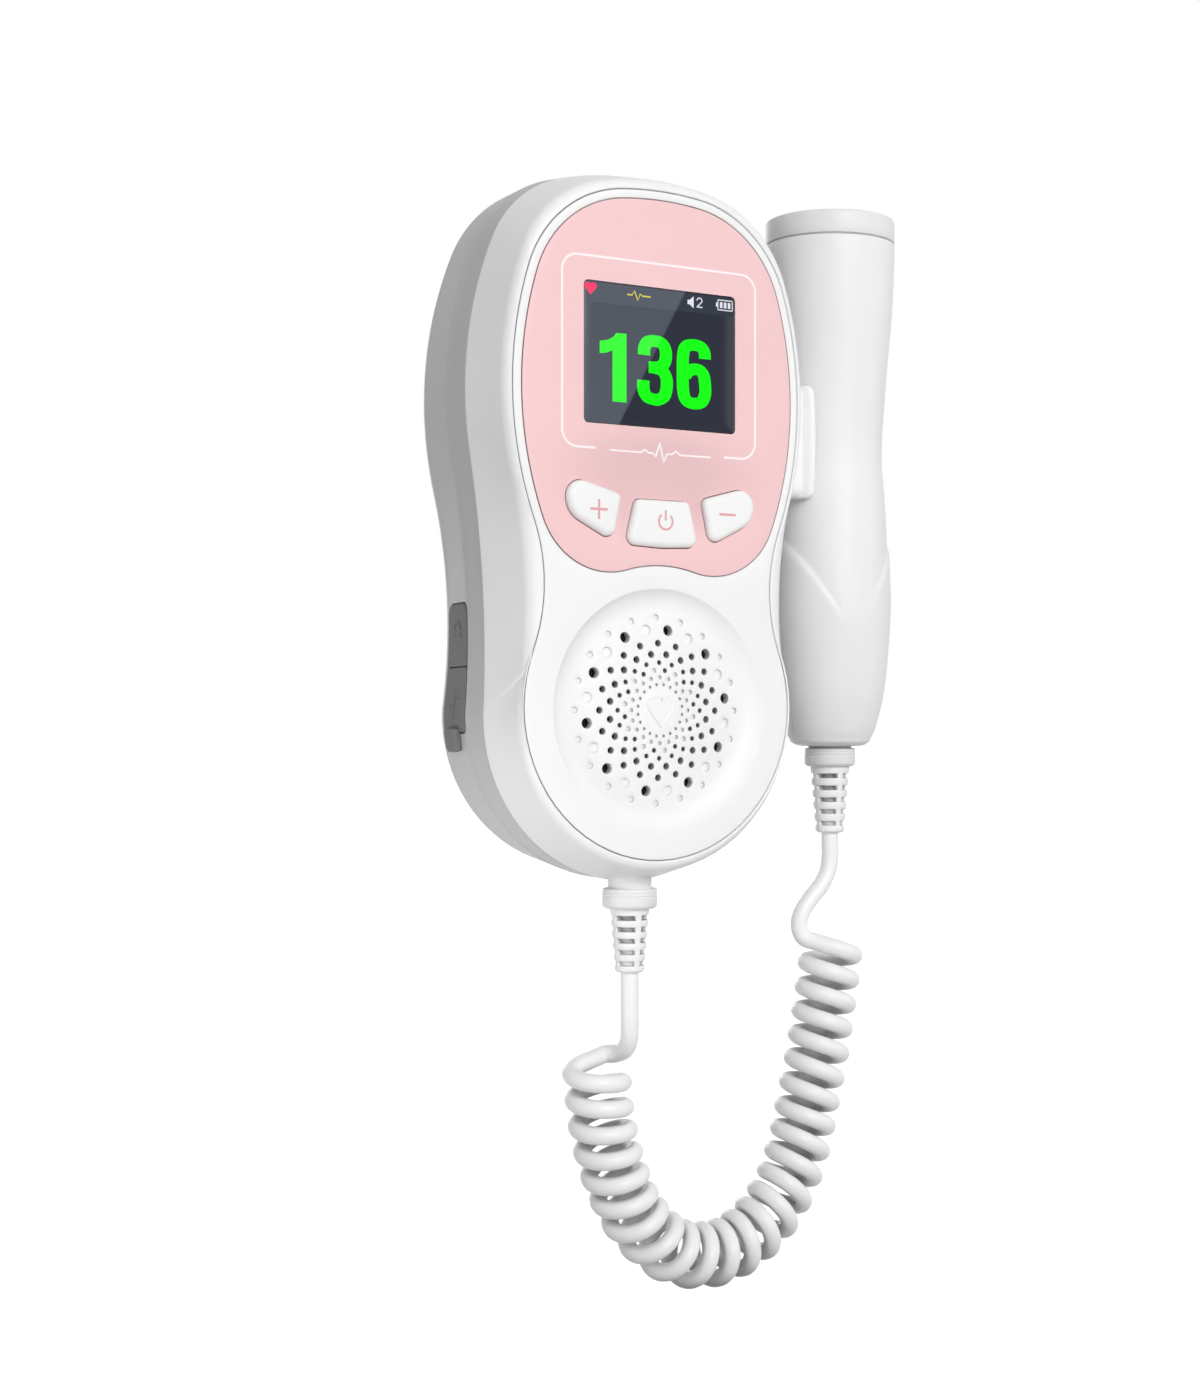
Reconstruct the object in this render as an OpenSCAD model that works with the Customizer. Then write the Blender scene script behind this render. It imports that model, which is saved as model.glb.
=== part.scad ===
// Hand-held fetal doppler monitor with a docked probe on a curly lead.
// Millimetres, +Z up. The display faces -Y. The origin is the centre of the flat rear face.
// A depth is measured back from the face plate's front plane, so depth 0 lies at Y = -case_depth.

/* [Case outline at the parting line] */
// Height of the crown above the origin
case_top = 72.8; // [71:0.1:76]
// Distance from the origin down to the lowest point
case_bottom = 71.5; // [70.5:0.1:75]
// Half width of the upper lobe
upper_half_w = 37.5; // [37:0.1:41]
// Height of the upper lobe's widest place
upper_z = 26.7; // [25:0.1:28]
// Half width of the lower lobe
lower_half_w = 33.5; // [33:0.1:37]
// Height of the lower lobe's widest place above the lowest point
lower_up = 33.5; // [32:0.1:35]
// Radius of the crown
crown_r = 60; // [55:0.5:66]
// Radius of each shoulder
shoulder_r = 23; // [21:0.5:26]
// Radius of each upper side
side_r = 80; // [76:0.5:90]
// Radius of the hollow at the waist
waist_r = 250; // [200:5:320]
// Radius of each side of the lower lobe
lobe_r = 28; // [26:0.5:29]

/* [Front seam, measured in from the parting line] */
// Inset of the seam at the crown
seam_top_in = 5.4; // [4.5:0.1:6]
// Inset of the seam at the bottom
seam_bottom_in = 4.7; // [4:0.1:5.5]
// Inset of the seam at the upper lobe's sides
seam_upper_in = 4.2; // [3.6:0.1:5]
// Inset of the seam at the lower lobe's sides
seam_lower_in = 3.5; // [3:0.1:4]
// Radius of the seam's crown
seam_crown_r = 72; // [66:0.5:78]
// Radius of the seam's shoulders
seam_shoulder_r = 25; // [23:0.5:27]
// Radius of the seam's upper sides
seam_side_r = 76; // [72:0.5:80]
// Radius of the seam's waist
seam_waist_r = 36; // [30:0.5:44]
// Radius of the seam's lower lobe
seam_lobe_r = 20.5; // [19:0.5:22]
// How far the seam's lower lobe sits above the case's own
seam_lobe_up = 6; // [5:0.1:7]

/* [Rear edge, measured out from the parting line] */
// How far the rear edge rises above the crown
rear_top_out = 1.8; // [0.5:0.1:2]
// Inset of the rear edge at the bottom
rear_bottom_in = 1.9; // [1:0.1:2.5]
// Inset of the rear edge at the upper lobe's sides
rear_upper_in = 1.2; // [0.6:0.1:1.6]
// Inset of the rear edge at the lower lobe's sides
rear_lower_in = 1.3; // [0.6:0.1:1.8]
// Radius of the rear edge's shoulders
rear_shoulder_r = 27; // [25:0.5:30]
// Radius of the rear edge's waist
rear_waist_r = 120; // [90:1:200]
// Radius of the rear edge's lower lobe
rear_lobe_r = 24; // [22:0.5:26]

/* [Case depth and walls] */
// Depth of the case from the face plate to the rear face
case_depth = 38; // [37:0.1:42]
// Depth of the parting line between the shells
parting_d = 12.5; // [11.5:0.1:14]
// Depth of the faint crease round the rear shell
crease_d = 19.5; // [18.5:0.1:20.5]
// How far the crease stands out of the side
crease_out = 0.4; // [0:0.05:0.6]
// Depth of the round front edge
front_round = 3; // [2.5:0.1:3.5]
// Share of the way from the seam out to the parting line that the round edge takes
front_share = 0.5; // [0.4:0.05:0.6]
// Radius of the rear edge
rear_fillet = 5; // [4:0.1:6]
// Wall of both shells
wall = 2.2; // [1.9:0.1:2.5]
// Height of the tongue that joins the shells
tongue_h = 1.4; // [1:0.1:1.8]
// Width of the ledge that carries the face plate
ledge_w = 2.5; // [2:0.1:2.8]

/* [Face plate, panel and display] */
// Thickness of the face plate
plate_t = 2.2; // [1.9:0.1:2.4]
// Thickness of the coloured panel
panel_t = 0.35; // [0.25:0.05:0.5]
// Border of white face plate round the panel
panel_in = 1.9; // [1.5:0.1:2.5]
// Radius of the panel's two lower lobes
panel_lobe_r = 15.5; // [14.5:0.1:16.5]
// Width of the display window
screen_w = 35.2; // [33:0.1:37]
// Height of the display window
screen_h = 27.9; // [26:0.1:29]
// Height of the display's centre
screen_z = 33.9; // [33:0.1:35]
// Thickness of the display window
window_t = 1.1; // [0.9:0.1:1.3]
// Width of the ledge under the window's edge
window_ledge = 1.2; // [0.8:0.1:1.6]
// Thickness of the liquid crystal module
lcd_t = 2.4; // [2:0.1:2.8]
// Border of the module round the window
lcd_border = 2.6; // [2.2:0.1:3]

/* [Speaker grille] */
// Distance from the origin down to the speaker's centre
speaker_drop = 36.65; // [36:0.05:37.5]
// Radius of the dish's rim
dish_r = 24.35; // [23.5:0.05:25]
// Radius of the dish's floor
dish_floor_r = 20; // [19.6:0.1:20.4]
// Depth of the dish's floor
dish_d = 2.2; // [1.6:0.1:2.4]
// How far the dome in the dish rises towards the front
dome_rise = 2; // [1.2:0.1:2.2]
// Wall of the dish
dish_wall = 1.8; // [1.4:0.1:2]
// Positions on each ring of the grille
grille_count = 20; // [16:2:22]
// Width of the raised heart
heart_w = 6.7; // [6:0.1:7]
// How far the heart stands out of the dome
heart_h = 0.4; // [0.2:0.1:0.6]
// Outer radius of the loudspeaker
speaker_r = 19; // [18:0.1:19.2]
// Radius of the loudspeaker's magnet
magnet_r = 10; // [9:0.1:11]
// Thickness of the loudspeaker's magnet
magnet_t = 5; // [4:0.1:6]

/* [Buttons] */
// How far the buttons stand out of the panel
button_proud = 1.5; // [1.2:0.1:1.8]
// Travel of the buttons
button_travel = 0.8; // [0.5:0.1:1]
// Gap round each button
button_gap = 0.25; // [0.2:0.05:0.4]
// Rounding of a button's edge
button_round = 1.2; // [0.6:0.1:1.2]
// Width of the flange behind the plate
button_flange = 0.9; // [0.6:0.1:1]
// Thickness of the flange behind the plate
button_flange_t = 0.8; // [0.6:0.1:1]
// Radius of a button's stem
button_stem_r = 2; // [1.6:0.1:2.2]
// Width of the rubber mat under the buttons
mat_w = 42; // [41:0.5:43]
// Height of the rubber mat under the buttons
mat_h = 14; // [13.5:0.1:15]

/* [Boards and battery] */
// Depth of the main board's front
board_d = 6.5; // [6.4:0.1:7.5]
// Thickness of the main board
board_t = 1.6; // [1:0.1:2]
// Gap between the face plate's edge and the main board's
board_in = 6; // [5.5:0.1:7]
// Distance from the origin down to the main board's lower edge
board_drop = 9; // [8:0.1:11]
// Radius of the board screws' pilot holes
board_pilot_r = 0.9; // [0.7:0.05:1]
// Width of the battery
battery_w = 34; // [30:0.5:36]
// Height of the battery
battery_h = 54; // [46:0.5:56]
// Thickness of the battery
battery_t = 8; // [6:0.1:9]
// Height of the battery's centre
battery_z = 21; // [19:0.5:23]
// Wall of the battery tray
tray_wall = 1.4; // [1:0.1:1.6]

/* [Sockets and their rubber flaps] */
// Depth of the flaps' front edge
flap_d0 = 20.8; // [20.6:0.1:21.5]
// Depth of the flaps' rear edge
flap_d1 = 33; // [31.5:0.1:33.4]
// Distance from the origin down to the upper flap's top
flap_top_drop = 14.8; // [14:0.1:15.5]
// Distance from the origin down to the line between the flaps
flap_split_drop = 27.8; // [27:0.1:28.5]
// Distance from the origin down to the lower flap's end
flap_end_drop = 41.2; // [40.5:0.1:42]
// Length of the pull tab
tab_l = 3.6; // [3:0.1:5]
// Width of the pull tab
tab_w = 5.8; // [5:0.1:9]
// Depth of the pocket that holds the flaps
flap_pocket = 1; // [0.8:0.1:1.2]
// How far the flaps stand out of the side
flap_proud = 0.3; // [0.1:0.05:0.5]
// Gap round the flaps
flap_gap = 0.2; // [0.1:0.05:0.3]
// Radius of the headphone plug's hole
jack_r = 1.8; // [1.7:0.05:2]
// Width of the charging socket's slot
usb_w = 9; // [8.4:0.1:9.4]
// Height of the charging socket's slot
usb_h = 3.2; // [2.8:0.1:3.6]
// Length of the charging socket
usb_l = 8; // [7:0.1:9]
// Length of the headphone jack
jack_l = 12; // [11:0.1:12.5]
// Width of the headphone jack
jack_w = 6.4; // [6:0.1:7]
// Distance from the sockets' middle back to their board
port_board_back = 2.8; // [2.6:0.1:3.2]
// Distance from the sockets' mouths in to the board's posts
port_post_in = 13; // [12.5:0.1:14]

/* [Probe] */
// Distance from the case's centre plane to the probe's axis
probe_x = 55; // [55:0.1:58]
// Distance from the rear face to the probe's axis
probe_y = 19; // [18:0.1:20]
// Height of the probe's face above the origin
probe_top = 71.3; // [70:0.1:73]
// Height of the probe's cap
cap_h = 5.3; // [4.6:0.1:6]
// Radius of the probe at the cap
probe_r = 14.2; // [14:0.05:14.5]
// Radius of the probe at the waist
probe_waist_r = 11.4; // [11.2:0.05:11.8]
// Height of the waist above the origin
probe_waist_z = 20.5; // [19:0.1:22]
// Radius of the probe at the grip
grip_r = 13.4; // [13.2:0.05:13.6]
// Distance from the origin down to the probe's lower end
probe_drop = 44.15; // [43:0.05:45]
// Wall of the probe
probe_wall = 1.8; // [1.4:0.1:2]
// Distance from the origin down to the tip of the grip's crease
crease_drop = 20.7; // [19:0.1:22]
// How far the crease climbs for each millimetre from its tip
crease_slope = 1.6; // [1.2:0.05:2]
// Angle of the crease's tip from the front towards the case
crease_turn = 13; // [0:1:20]
// Thickness of the acoustic face
face_t = 1.6; // [1:0.1:2]
// Thickness of the crystals
crystal_t = 1.2; // [0.8:0.1:1.6]
// Gap between the two crystals
crystal_gap = 0.6; // [0.4:0.1:1]
// Height of the damping block
backing_h = 7; // [5:0.5:9]
// Length of the probe's board
probe_board_l = 66; // [50:1:70]
// Thickness of the probe's board
probe_board_t = 1.2; // [0.8:0.1:1.6]

/* [Cradle] */
// Gap between the cradle's saddle and the probe where it is widest
cradle_gap = 0.3; // [0.25:0.05:0.5]
// Wall of the saddle
cradle_wall = 2.2; // [1.8:0.1:2.6]
// Height of the cradle's lower edge above the origin
cradle_z0 = 9.2; // [8.5:0.1:11]
// Height of the cradle's upper edge above the origin
cradle_z1 = 33.5; // [31:0.1:34]
// Angle of the saddle's front lip, from the front towards the case
cradle_front_a = 57; // [45:1:62]
// Angle of the saddle's rear arm, from the front towards the case
cradle_rear_a = 170; // [150:1:172]
// Depth of the cradle's foot, front edge
foot_d0 = 10; // [9.5:0.1:12]
// Depth of the cradle's foot, rear edge
foot_d1 = 28; // [26:0.1:28.5]

/* [Screws] */
// Half the distance between the upper case screws
screw_top_x = 25.5; // [24.5:0.1:26]
// Height of the upper case screws
screw_top_z = 54; // [53:0.1:55]
// Half the distance between the lower case screws
screw_low_x = 20; // [19:0.1:21]
// Height of the lower case screws above the case's lowest point
screw_low_up = 16; // [15:0.1:16.5]
// Radius of the case screws' heads
screw_head_r = 2.4; // [2:0.1:2.6]
// Radius of the case screws' shanks
screw_r = 1.15; // [1:0.05:1.3]
// Half the distance between the board's lower screws
board_screw_low_x = 24.3; // [23.5:0.1:25]
// Height of the board's lower screws
board_screw_low_z = 15.2; // [14.5:0.1:16]
// Half the distance between the board's upper screws
board_screw_top_x = 17; // [16:0.1:18]
// Height of the board's upper screws
board_screw_top_z = 57; // [56:0.1:58]
// Radius of the small screws' shanks
small_screw_r = 0.85; // [0.65:0.05:0.85]

/* [Cord and strain reliefs] */
// Diameter of the cord
cord_d = 3.6; // [3.2:0.05:3.7]
// Radius from the curly cord's axis to the cord's centre
curl_r = 5.2; // [5:0.05:5.6]
// Number of whole curls
curl_count = 24; // [20:1:25]
// Radius of the main gland's neck
gland_neck_r = 4.5; // [4.2:0.05:4.8]
// Radius of the main gland's collar
gland_collar_r = 5.65; // [5.4:0.05:6]
// Height of the main gland's collar
gland_collar_h = 4.1; // [3.6:0.1:4.6]
// Gap between the case and the main gland's collar
gland_gap = 1.5; // [0.5:0.1:2]
// Length of the main strain relief
relief_l = 13.1; // [12:0.1:15]
// Radius of the main strain relief at the collar
relief_r0 = 4; // [3.8:0.05:4.2]
// Radius of the main strain relief at its end
relief_r1 = 2.95; // [2.8:0.05:3.2]
// Radius of the probe gland's neck
probe_neck_r = 4.75; // [4.4:0.05:5]
// Radius of the probe gland's collar
probe_collar_r = 5.6; // [5.3:0.05:5.9]
// Height of the probe gland's collar
probe_collar_h = 4; // [3.6:0.1:4.6]
// Gap between the probe and its collar
probe_gland_gap = 0.45; // [0.3:0.05:0.8]
// Length of the probe's strain relief
probe_relief_l = 14.6; // [13:0.1:16]
// Radius of the probe's strain relief at the collar
probe_relief_r0 = 4.25; // [4:0.05:4.4]
// Radius of the probe's strain relief at its end
probe_relief_r1 = 3.05; // [2.9:0.05:3.2]
// Rows of slots in each strain relief
slot_rows = 5; // [3:1:6]
// Height of a slot
slot_h = 1; // [0.8:0.05:1.2]

/* [Hidden] */
$fn = 48;

// Colours
white = [0.95, 0.95, 0.945];
side_grey = [0.86, 0.86, 0.86];
panel_pink = [0.96, 0.80, 0.81];
flap_grey = [0.42, 0.42, 0.42];
board_green = [0.10, 0.40, 0.22];
steel = [0.72, 0.73, 0.75];

// Running clearances
seam_gap = 0.12;
part_gap = 0.1;
seat_gap = 0.05;
eps = 0.01;

// ---------------------------------------------------------------- shared geometry

function unit(v) = v / norm(v);
function angle_of(v) = atan2(v[1], v[0]);
function mix(a, b, t) = a * (1 - t) + b * t;

// The crossing of two circles that lies on the chosen side of the line from c1 to c2
function crossing(c1, r1, c2, r2, side) =
    let (d = c2 - c1, l = norm(d), u = d / l)
    let (a = (r1 * r1 - r2 * r2 + l * l) / (2 * l), h = sqrt(max(0, r1 * r1 - a * a)))
    c1 + a * u + side * h * [-u[1], u[0]];

function arc(c, r, a0, a1, n) =
    [for (i = [0:n]) c + r * [cos(mix(a0, a1, i / n)), sin(mix(a0, a1, i / n))]];

function tail(list) = [for (i = [1:len(list) - 1]) list[i]];

// Six tangent arcs from the crown down the right side to the bottom, drawn in by inset:
// crown, shoulder, upper side, waist, lower lobe and bottom.
function half_outline(top, bottom, half_w, z_wide, low_half_w, z_low, radii, inset) =
    let (rt = radii[0], rc = radii[1], rs = radii[2], rw = radii[3], rl = radii[4])
    let (ct = [0, top - rt], cs = [half_w - rs, z_wide], cl = [low_half_w - rl, z_low])
    let (cc = crossing(ct, rt - rc, cs, rs - rc, -1))
    let (cw = crossing(cs, rs + rw, cl, rl + rw, 1))
    let (h = z_low - bottom, rb = (cl[0] * cl[0] + h * h - rl * rl) / (2 * (h - rl)))
    let (cb = [0, bottom + rb])
    let (a1 = angle_of(cc - ct), a2 = angle_of(cc - cs), a3 = angle_of(cw - cs))
    let (a4 = angle_of(cs - cw), a5 = 360 + angle_of(cl - cw))
    let (a6 = angle_of(cw - cl), a7 = angle_of(cl - cb))
    concat(
        arc(ct, rt - inset, 90, a1, 5),
        tail(arc(cc, rc - inset, a1, a2, 8)),
        tail(arc(cs, rs - inset, a2, a3, 7)),
        tail(arc(cw, rw + inset, a4, a5, 6)),
        tail(arc(cl, rl - inset, a6, a7, 8)),
        tail(arc(cb, rb - inset, a7, -90, 5)));

// Height of the lower lobe's widest place
lower_z = lower_up - case_bottom;

// The half outline and its mirror image as one closed ring
function closed(half) =
    concat(half, [for (i = [len(half) - 2:-1:1]) [-half[i][0], half[i][1]]]);

function seam_outline(inset = 0) = closed(half_outline(
    case_top - seam_top_in, -case_bottom + seam_bottom_in,
    upper_half_w - seam_upper_in, upper_z,
    lower_half_w - seam_lower_in, lower_z + seam_lobe_up,
    [seam_crown_r, seam_shoulder_r, seam_side_r, seam_waist_r, seam_lobe_r], inset));

function part_outline(inset = 0) = closed(half_outline(
    case_top, -case_bottom, upper_half_w, upper_z, lower_half_w, lower_z,
    [crown_r, shoulder_r, side_r, waist_r, lobe_r], inset));

function rear_outline(inset = 0) = closed(half_outline(
    case_top + rear_top_out, -case_bottom + rear_bottom_in,
    upper_half_w - rear_upper_in, upper_z,
    lower_half_w - rear_lower_in, lower_z,
    [crown_r, rear_shoulder_r, side_r, rear_waist_r, rear_lobe_r], inset));

// Between the parting line and the rear edge the outline passes evenly from one to the other
function side_outline(d, inset = 0) = mix(part_outline(inset), rear_outline(inset),
    (d - parting_d) / (case_depth - rear_fillet - parting_d));

// An outline in X and Z, set at a depth
function ring(outline, d) = [for (p = outline) [p[0], d - case_depth, p[1]]];

// The front wall at an angle round its edge, as its share of the way out and its depth. The edge
// ends where the drafted wall carries on from it, straight to the parting line.
round_end = 75;
function front_at(a, inset) = ring(
    mix(seam_outline(inset), part_outline(inset), front_share * sin(a)), front_round * (1 - cos(a)));

// The front wall at a depth behind its round edge
function drafted(d, inset) =
    let (d0 = front_round * (1 - cos(round_end)), s0 = front_share * sin(round_end))
    mix(seam_outline(inset), part_outline(inset), mix(s0, 1, (d - d0) / (parting_d - d0)));

// The front shell from the parting line over its drafted wall and round its edge to the seam
function front_rings(inset = 0) = concat(
    [ring(part_outline(inset), parting_d)],
    [for (a = [round_end:-15:0]) front_at(a, inset)]);

// The side from the rear face round its fillet to the parting line, moved out by grow
function rear_rings(grow = 0) = concat(
    [for (a = [90:-22.5:0])
        ring(rear_outline(rear_fillet * (1 - cos(a)) - grow), case_depth - rear_fillet * (1 - sin(a)))],
    [ring(side_outline(crease_d, -crease_out - grow), crease_d)],
    [ring(part_outline(-grow), parting_d)]);

// Triangles that join equal rings in turn; the last joins the first, or both ends are closed
function skin_faces(rings, n, looped) = concat(
    [for (i = [0:rings - (looped ? 1 : 2)], j = [0:n - 1], half = [0, 1])
        let (a = i * n + j, b = i * n + (j + 1) % n)
        let (c = ((i + 1) % rings) * n + (j + 1) % n, e = ((i + 1) % rings) * n + j)
        half == 0 ? [a, b, c] : [a, c, e]],
    looped ? [] : [[for (j = [n - 1:-1:0]) j], [for (j = [0:n - 1]) (rings - 1) * n + j]]);

function flatten(lists) = [for (l = lists, p = l) p];

module skin(rings, looped = false) {
    polyhedron(points = flatten(rings), faces = skin_faces(len(rings), len(rings[0]), looped));
}

// The whole case as one solid, moved out by grow, for cutting what seats against it
module case_solid(grow = 0) {
    skin(concat(rear_rings(grow), tail(front_rings(-grow))));
}

// A flat outline in X and Z, between two depths
module slab(d0, d1) {
    translate([0, d1 - case_depth, 0])
        rotate([90, 0, 0])
            linear_extrude(d1 - d0)
                children();
}

// A round bar along the depth
module bar(x, z, r, d0, d1, sides = 0) {
    translate([x, d1 - case_depth, z])
        rotate([90, 0, 0])
            cylinder(h = d1 - d0, r = r, $fn = sides > 0 ? sides : $fn);
}

// A profile in radius and depth, turned about an axis along the depth
module turned(x, z) {
    translate([x, -case_depth, z])
        rotate([-90, 0, 0])
            rotate_extrude()
                children();
}

// A block between two corners, given with depths in place of Y
module block(x0, x1, d0, d1, z0, z1) {
    translate([x0, d0 - case_depth, z0])
        cube([x1 - x0, d1 - d0, z1 - z0]);
}

// A polygon's corner moved in square to both of its edges
function inset_corner(a, p, b, inset) =
    let (u = unit(a - p), v = unit(b - p), half = acos(u * v) / 2)
    p + unit(u + v) * inset / sin(half);

// A convex polygon with rounded corners, drawn in by inset
function rounded(corners, radii, inset = 0, n = 5) =
    let (m = len(corners))
    let (q = [for (i = [0:m - 1])
        inset_corner(corners[(i + m - 1) % m], corners[i], corners[(i + 1) % m], inset)])
    [for (i = [0:m - 1])
        let (p = q[i], u = unit(q[(i + m - 1) % m] - p), v = unit(q[(i + 1) % m] - p))
        let (half = acos(u * v) / 2, r = max(0.05, radii[i] - inset))
        let (c = p + unit(u + v) * r / sin(half), a0 = angle_of(u * r / tan(half) + p - c))
        let (turn = (angle_of(v * r / tan(half) + p - c) - a0 + 540) % 360 - 180)
        for (k = [0:n]) c + r * [cos(a0 + turn * k / n), sin(a0 + turn * k / n)]];

function box_corners(w, h, z) =
    [[-w / 2, z + h / 2], [-w / 2, z - h / 2], [w / 2, z - h / 2], [w / 2, z + h / 2]];

// ---------------------------------------------------------------- case shells

inner_d = case_depth - wall;
tongue_in = wall / 2 + part_gap / 2;

module case_screw_places() {
    for (side = [-1, 1]) {
        translate([side * screw_top_x, 0, screw_top_z]) children();
        translate([side * screw_low_x, 0, screw_low_up - case_bottom]) children();
    }
}

boss_r = screw_head_r + 1.4;
screw_seat_d = parting_d + 2;

module front_shell() color(white) difference() {
    union() {
        skin(concat(
            front_rings(),
            [ring(seam_outline(), plate_t + seat_gap),
             ring(seam_outline(ledge_w), plate_t + seat_gap),
             ring(seam_outline(ledge_w), plate_t + wall),
             ring(drafted(parting_d - tongue_h - part_gap, wall), parting_d - tongue_h - part_gap),
             ring(part_outline(tongue_in - part_gap), parting_d - tongue_h - part_gap),
             ring(part_outline(tongue_in - part_gap), parting_d)]), looped = true);
        case_screw_places() bar(0, 0, screw_r + 1.6, plate_t + seat_gap, parting_d - part_gap);
    }
    case_screw_places() bar(0, 0, screw_r + seat_gap, plate_t + 2, parting_d + 1);
    gland_hole();
}

module rear_shell() color(side_grey) difference() {
    union() {
        skin(concat(
            rear_rings(),
            [ring(part_outline(tongue_in), parting_d),
             ring(part_outline(tongue_in), parting_d - tongue_h),
             ring(part_outline(wall), parting_d - tongue_h),
             ring(part_outline(wall), parting_d),
             ring(side_outline(crease_d, wall - crease_out), crease_d),
             ring(rear_outline(wall), case_depth - rear_fillet),
             ring(rear_outline(wall + 1), inner_d - 1),
             ring(rear_outline(rear_fillet), inner_d)]));
        case_screw_places() bar(0, 0, boss_r, parting_d, inner_d + 1);
        port_posts();
    }
    case_screw_places() {
        bar(0, 0, screw_head_r + 0.3, screw_seat_d, case_depth + 1);
        bar(0, 0, screw_r + part_gap, parting_d - 1, case_depth);
    }
    gland_hole();
    flap_pocket_cut();
    bar_x(-lower_half_w - 2, port_mouth_x + 3, jack_z, port_d, jack_r + 1.2 + part_gap);
    block(-lower_half_w - 2, port_mouth_x + 3, port_d - usb_h / 2 - 0.4, port_d + usb_h / 2 + 0.4,
        usb_z - usb_w / 2 - 0.4, usb_z + usb_w / 2 + 0.4);
    cradle_screw_places() cylinder(h = 14, r = small_screw_r + part_gap, center = true);
}

// A round bar along X, at a height and a depth
module bar_x(x0, x1, z, d, r) {
    translate([x0, d - case_depth, z])
        rotate([0, 90, 0])
            cylinder(h = x1 - x0, r = r);
}

module gland_hole() {
    translate([0, parting_d - case_depth, -case_bottom - 5])
        cylinder(h = 12, r = gland_neck_r + part_gap);
}

module case_screws() color(steel) case_screw_places() {
    bar(0, 0, screw_r, plate_t + 3, screw_seat_d + 0.2);
    difference() {
        bar(0, 0, screw_head_r, screw_seat_d, screw_seat_d + 1.6);
        bar(0, 0, screw_head_r / 2, screw_seat_d + 0.8, screw_seat_d + 2, 6);
    }
}

// ---------------------------------------------------------------- face plate and panel

speaker_z = -speaker_drop;
crest_r = dish_r + 4.6;
window_r = 0.6;

// The panel keeps the seam's sides, then swings round two lobes under the buttons
// and rises over the speaker's dish.
function panel_half(inset) =
    let (side_c = [upper_half_w - seam_upper_in - seam_side_r, upper_z])
    let (side_in = seam_side_r - panel_in, crest_c = [0, speaker_z])
    let (c = crossing(side_c, side_in - panel_lobe_r, crest_c, crest_r + panel_lobe_r, 1))
    let (a0 = angle_of(c - side_c), a1 = angle_of(crest_c - c), a2 = angle_of(c - crest_c))
    let (upper = seam_outline(panel_in + inset))
    concat(
        [for (i = [0:len(upper) / 2]) if (upper[i][1] > upper_z) upper[i]],
        arc(side_c, side_in - inset, 0, a0, 5),
        tail(arc(c, panel_lobe_r - inset, a0, a1, 14)),
        tail(arc(crest_c, crest_r + inset, a2, 90, 5)));

function panel_outline(inset = 0) = closed(panel_half(inset));

// Button outlines: corners and their radii. The minus button mirrors the plus button.
plus_corners = [[-21.7, 9.4], [-21.7, 2.0], [-11.4, -3.2], [-9.5, 6.1]];
plus_radii = [3.2, 5.0, 1.9, 1.4];
power_corners = [[-6.1, 5.4], [-8.4, -3.7], [0, -4.1], [8.4, -3.7], [6.1, 5.4]];
power_radii = [1.3, 1.8, 30, 1.8, 1.3];
plus_stem = [-15.2, 2.8];
power_stem = [0, 0.6];

function mirrored(points) = [for (p = points) [-p[0], p[1]]];

module button_shapes(grow) {
    polygon(rounded(plus_corners, plus_radii, -grow));
    polygon(mirrored(rounded(plus_corners, plus_radii, -grow)));
    polygon(rounded(power_corners, power_radii, -grow));
}

module window_shape(grow) {
    polygon(rounded(box_corners(screen_w, screen_h, screen_z), [for (i = [0:3]) window_r], -grow));
}

module board_screw_places() {
    for (side = [-1, 1]) {
        translate([side * board_screw_low_x, 0, board_screw_low_z]) children();
        translate([side * board_screw_top_x, 0, board_screw_top_z]) children();
    }
}

// Radius of the dome over its rise
dome_r = (dish_floor_r * dish_floor_r + dome_rise * dome_rise) / (2 * dome_rise);

// Depth of the dome's surface at a radius from its centre
function dome_d(r) = dish_d - dome_rise + dome_r - sqrt(dome_r * dome_r - r * r);

module dish_profile() {
    steps = [for (i = [0:5]) dish_floor_r * i / 5];
    polygon(concat(
        [for (r = steps) [r, dome_d(r)]],
        [[dish_r + eps, 0], [dish_r + 0.3, 0], [dish_r + 0.3, plate_t], [dish_floor_r + 1.2, dish_d + dish_wall]],
        [for (i = [5:-1:0]) [steps[i], dome_d(steps[i]) + dish_wall]]));
}

// Rings of the grille: radius, hole radius, share of a step turned, and which holes go through:
// 1 all of them, 0 none, 2 every other one
grille_rings = [
    [18.7, 0.65, 0, 0], [16.3, 1.1, 0.5, 2], [13.5, 0.7, 0, 1], [11.35, 0.72, 0.5, 1],
    [9.6, 0.5, 0, 1], [8.1, 0.5, 0.5, 2], [6.6, 0.42, 0, 0], [5.2, 0.33, 0.5, 0]];
dimple_d = 0.4;

module grille_cuts() {
    for (g = grille_rings, i = [0:grille_count - 1]) {
        a = (i + g[2]) * 360 / grille_count;
        through = g[3] == 1 || (g[3] == 2 && i % 2 == 0);
        deep = through ? dish_wall + 1 : dimple_d;
        if (through || g[1] > 0.6)
            bar(g[0] * sin(a), speaker_z + g[0] * cos(a), g[1],
                dome_d(g[0]) - 1, dome_d(g[0]) + deep, 8);
    }
}

// The dish with its pierced dome and the raised heart
module speaker_dish() {
    difference() {
        turned(0, speaker_z) dish_profile();
        grille_cuts();
    }
    translate([0, 0, speaker_z]) slab(dome_d(0) - heart_h, dome_d(0) + 0.6) heart(heart_w);
}

module heart(w) {
    lobe = w * 0.27;
    union() {
        for (side = [-1, 1])
            translate([side * (w / 2 - lobe), w * 0.18]) circle(r = lobe);
        polygon([[-w * 0.44, 0], [0, -w * 0.5], [w * 0.44, 0], [0, w * 0.3]]);
    }
}

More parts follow.
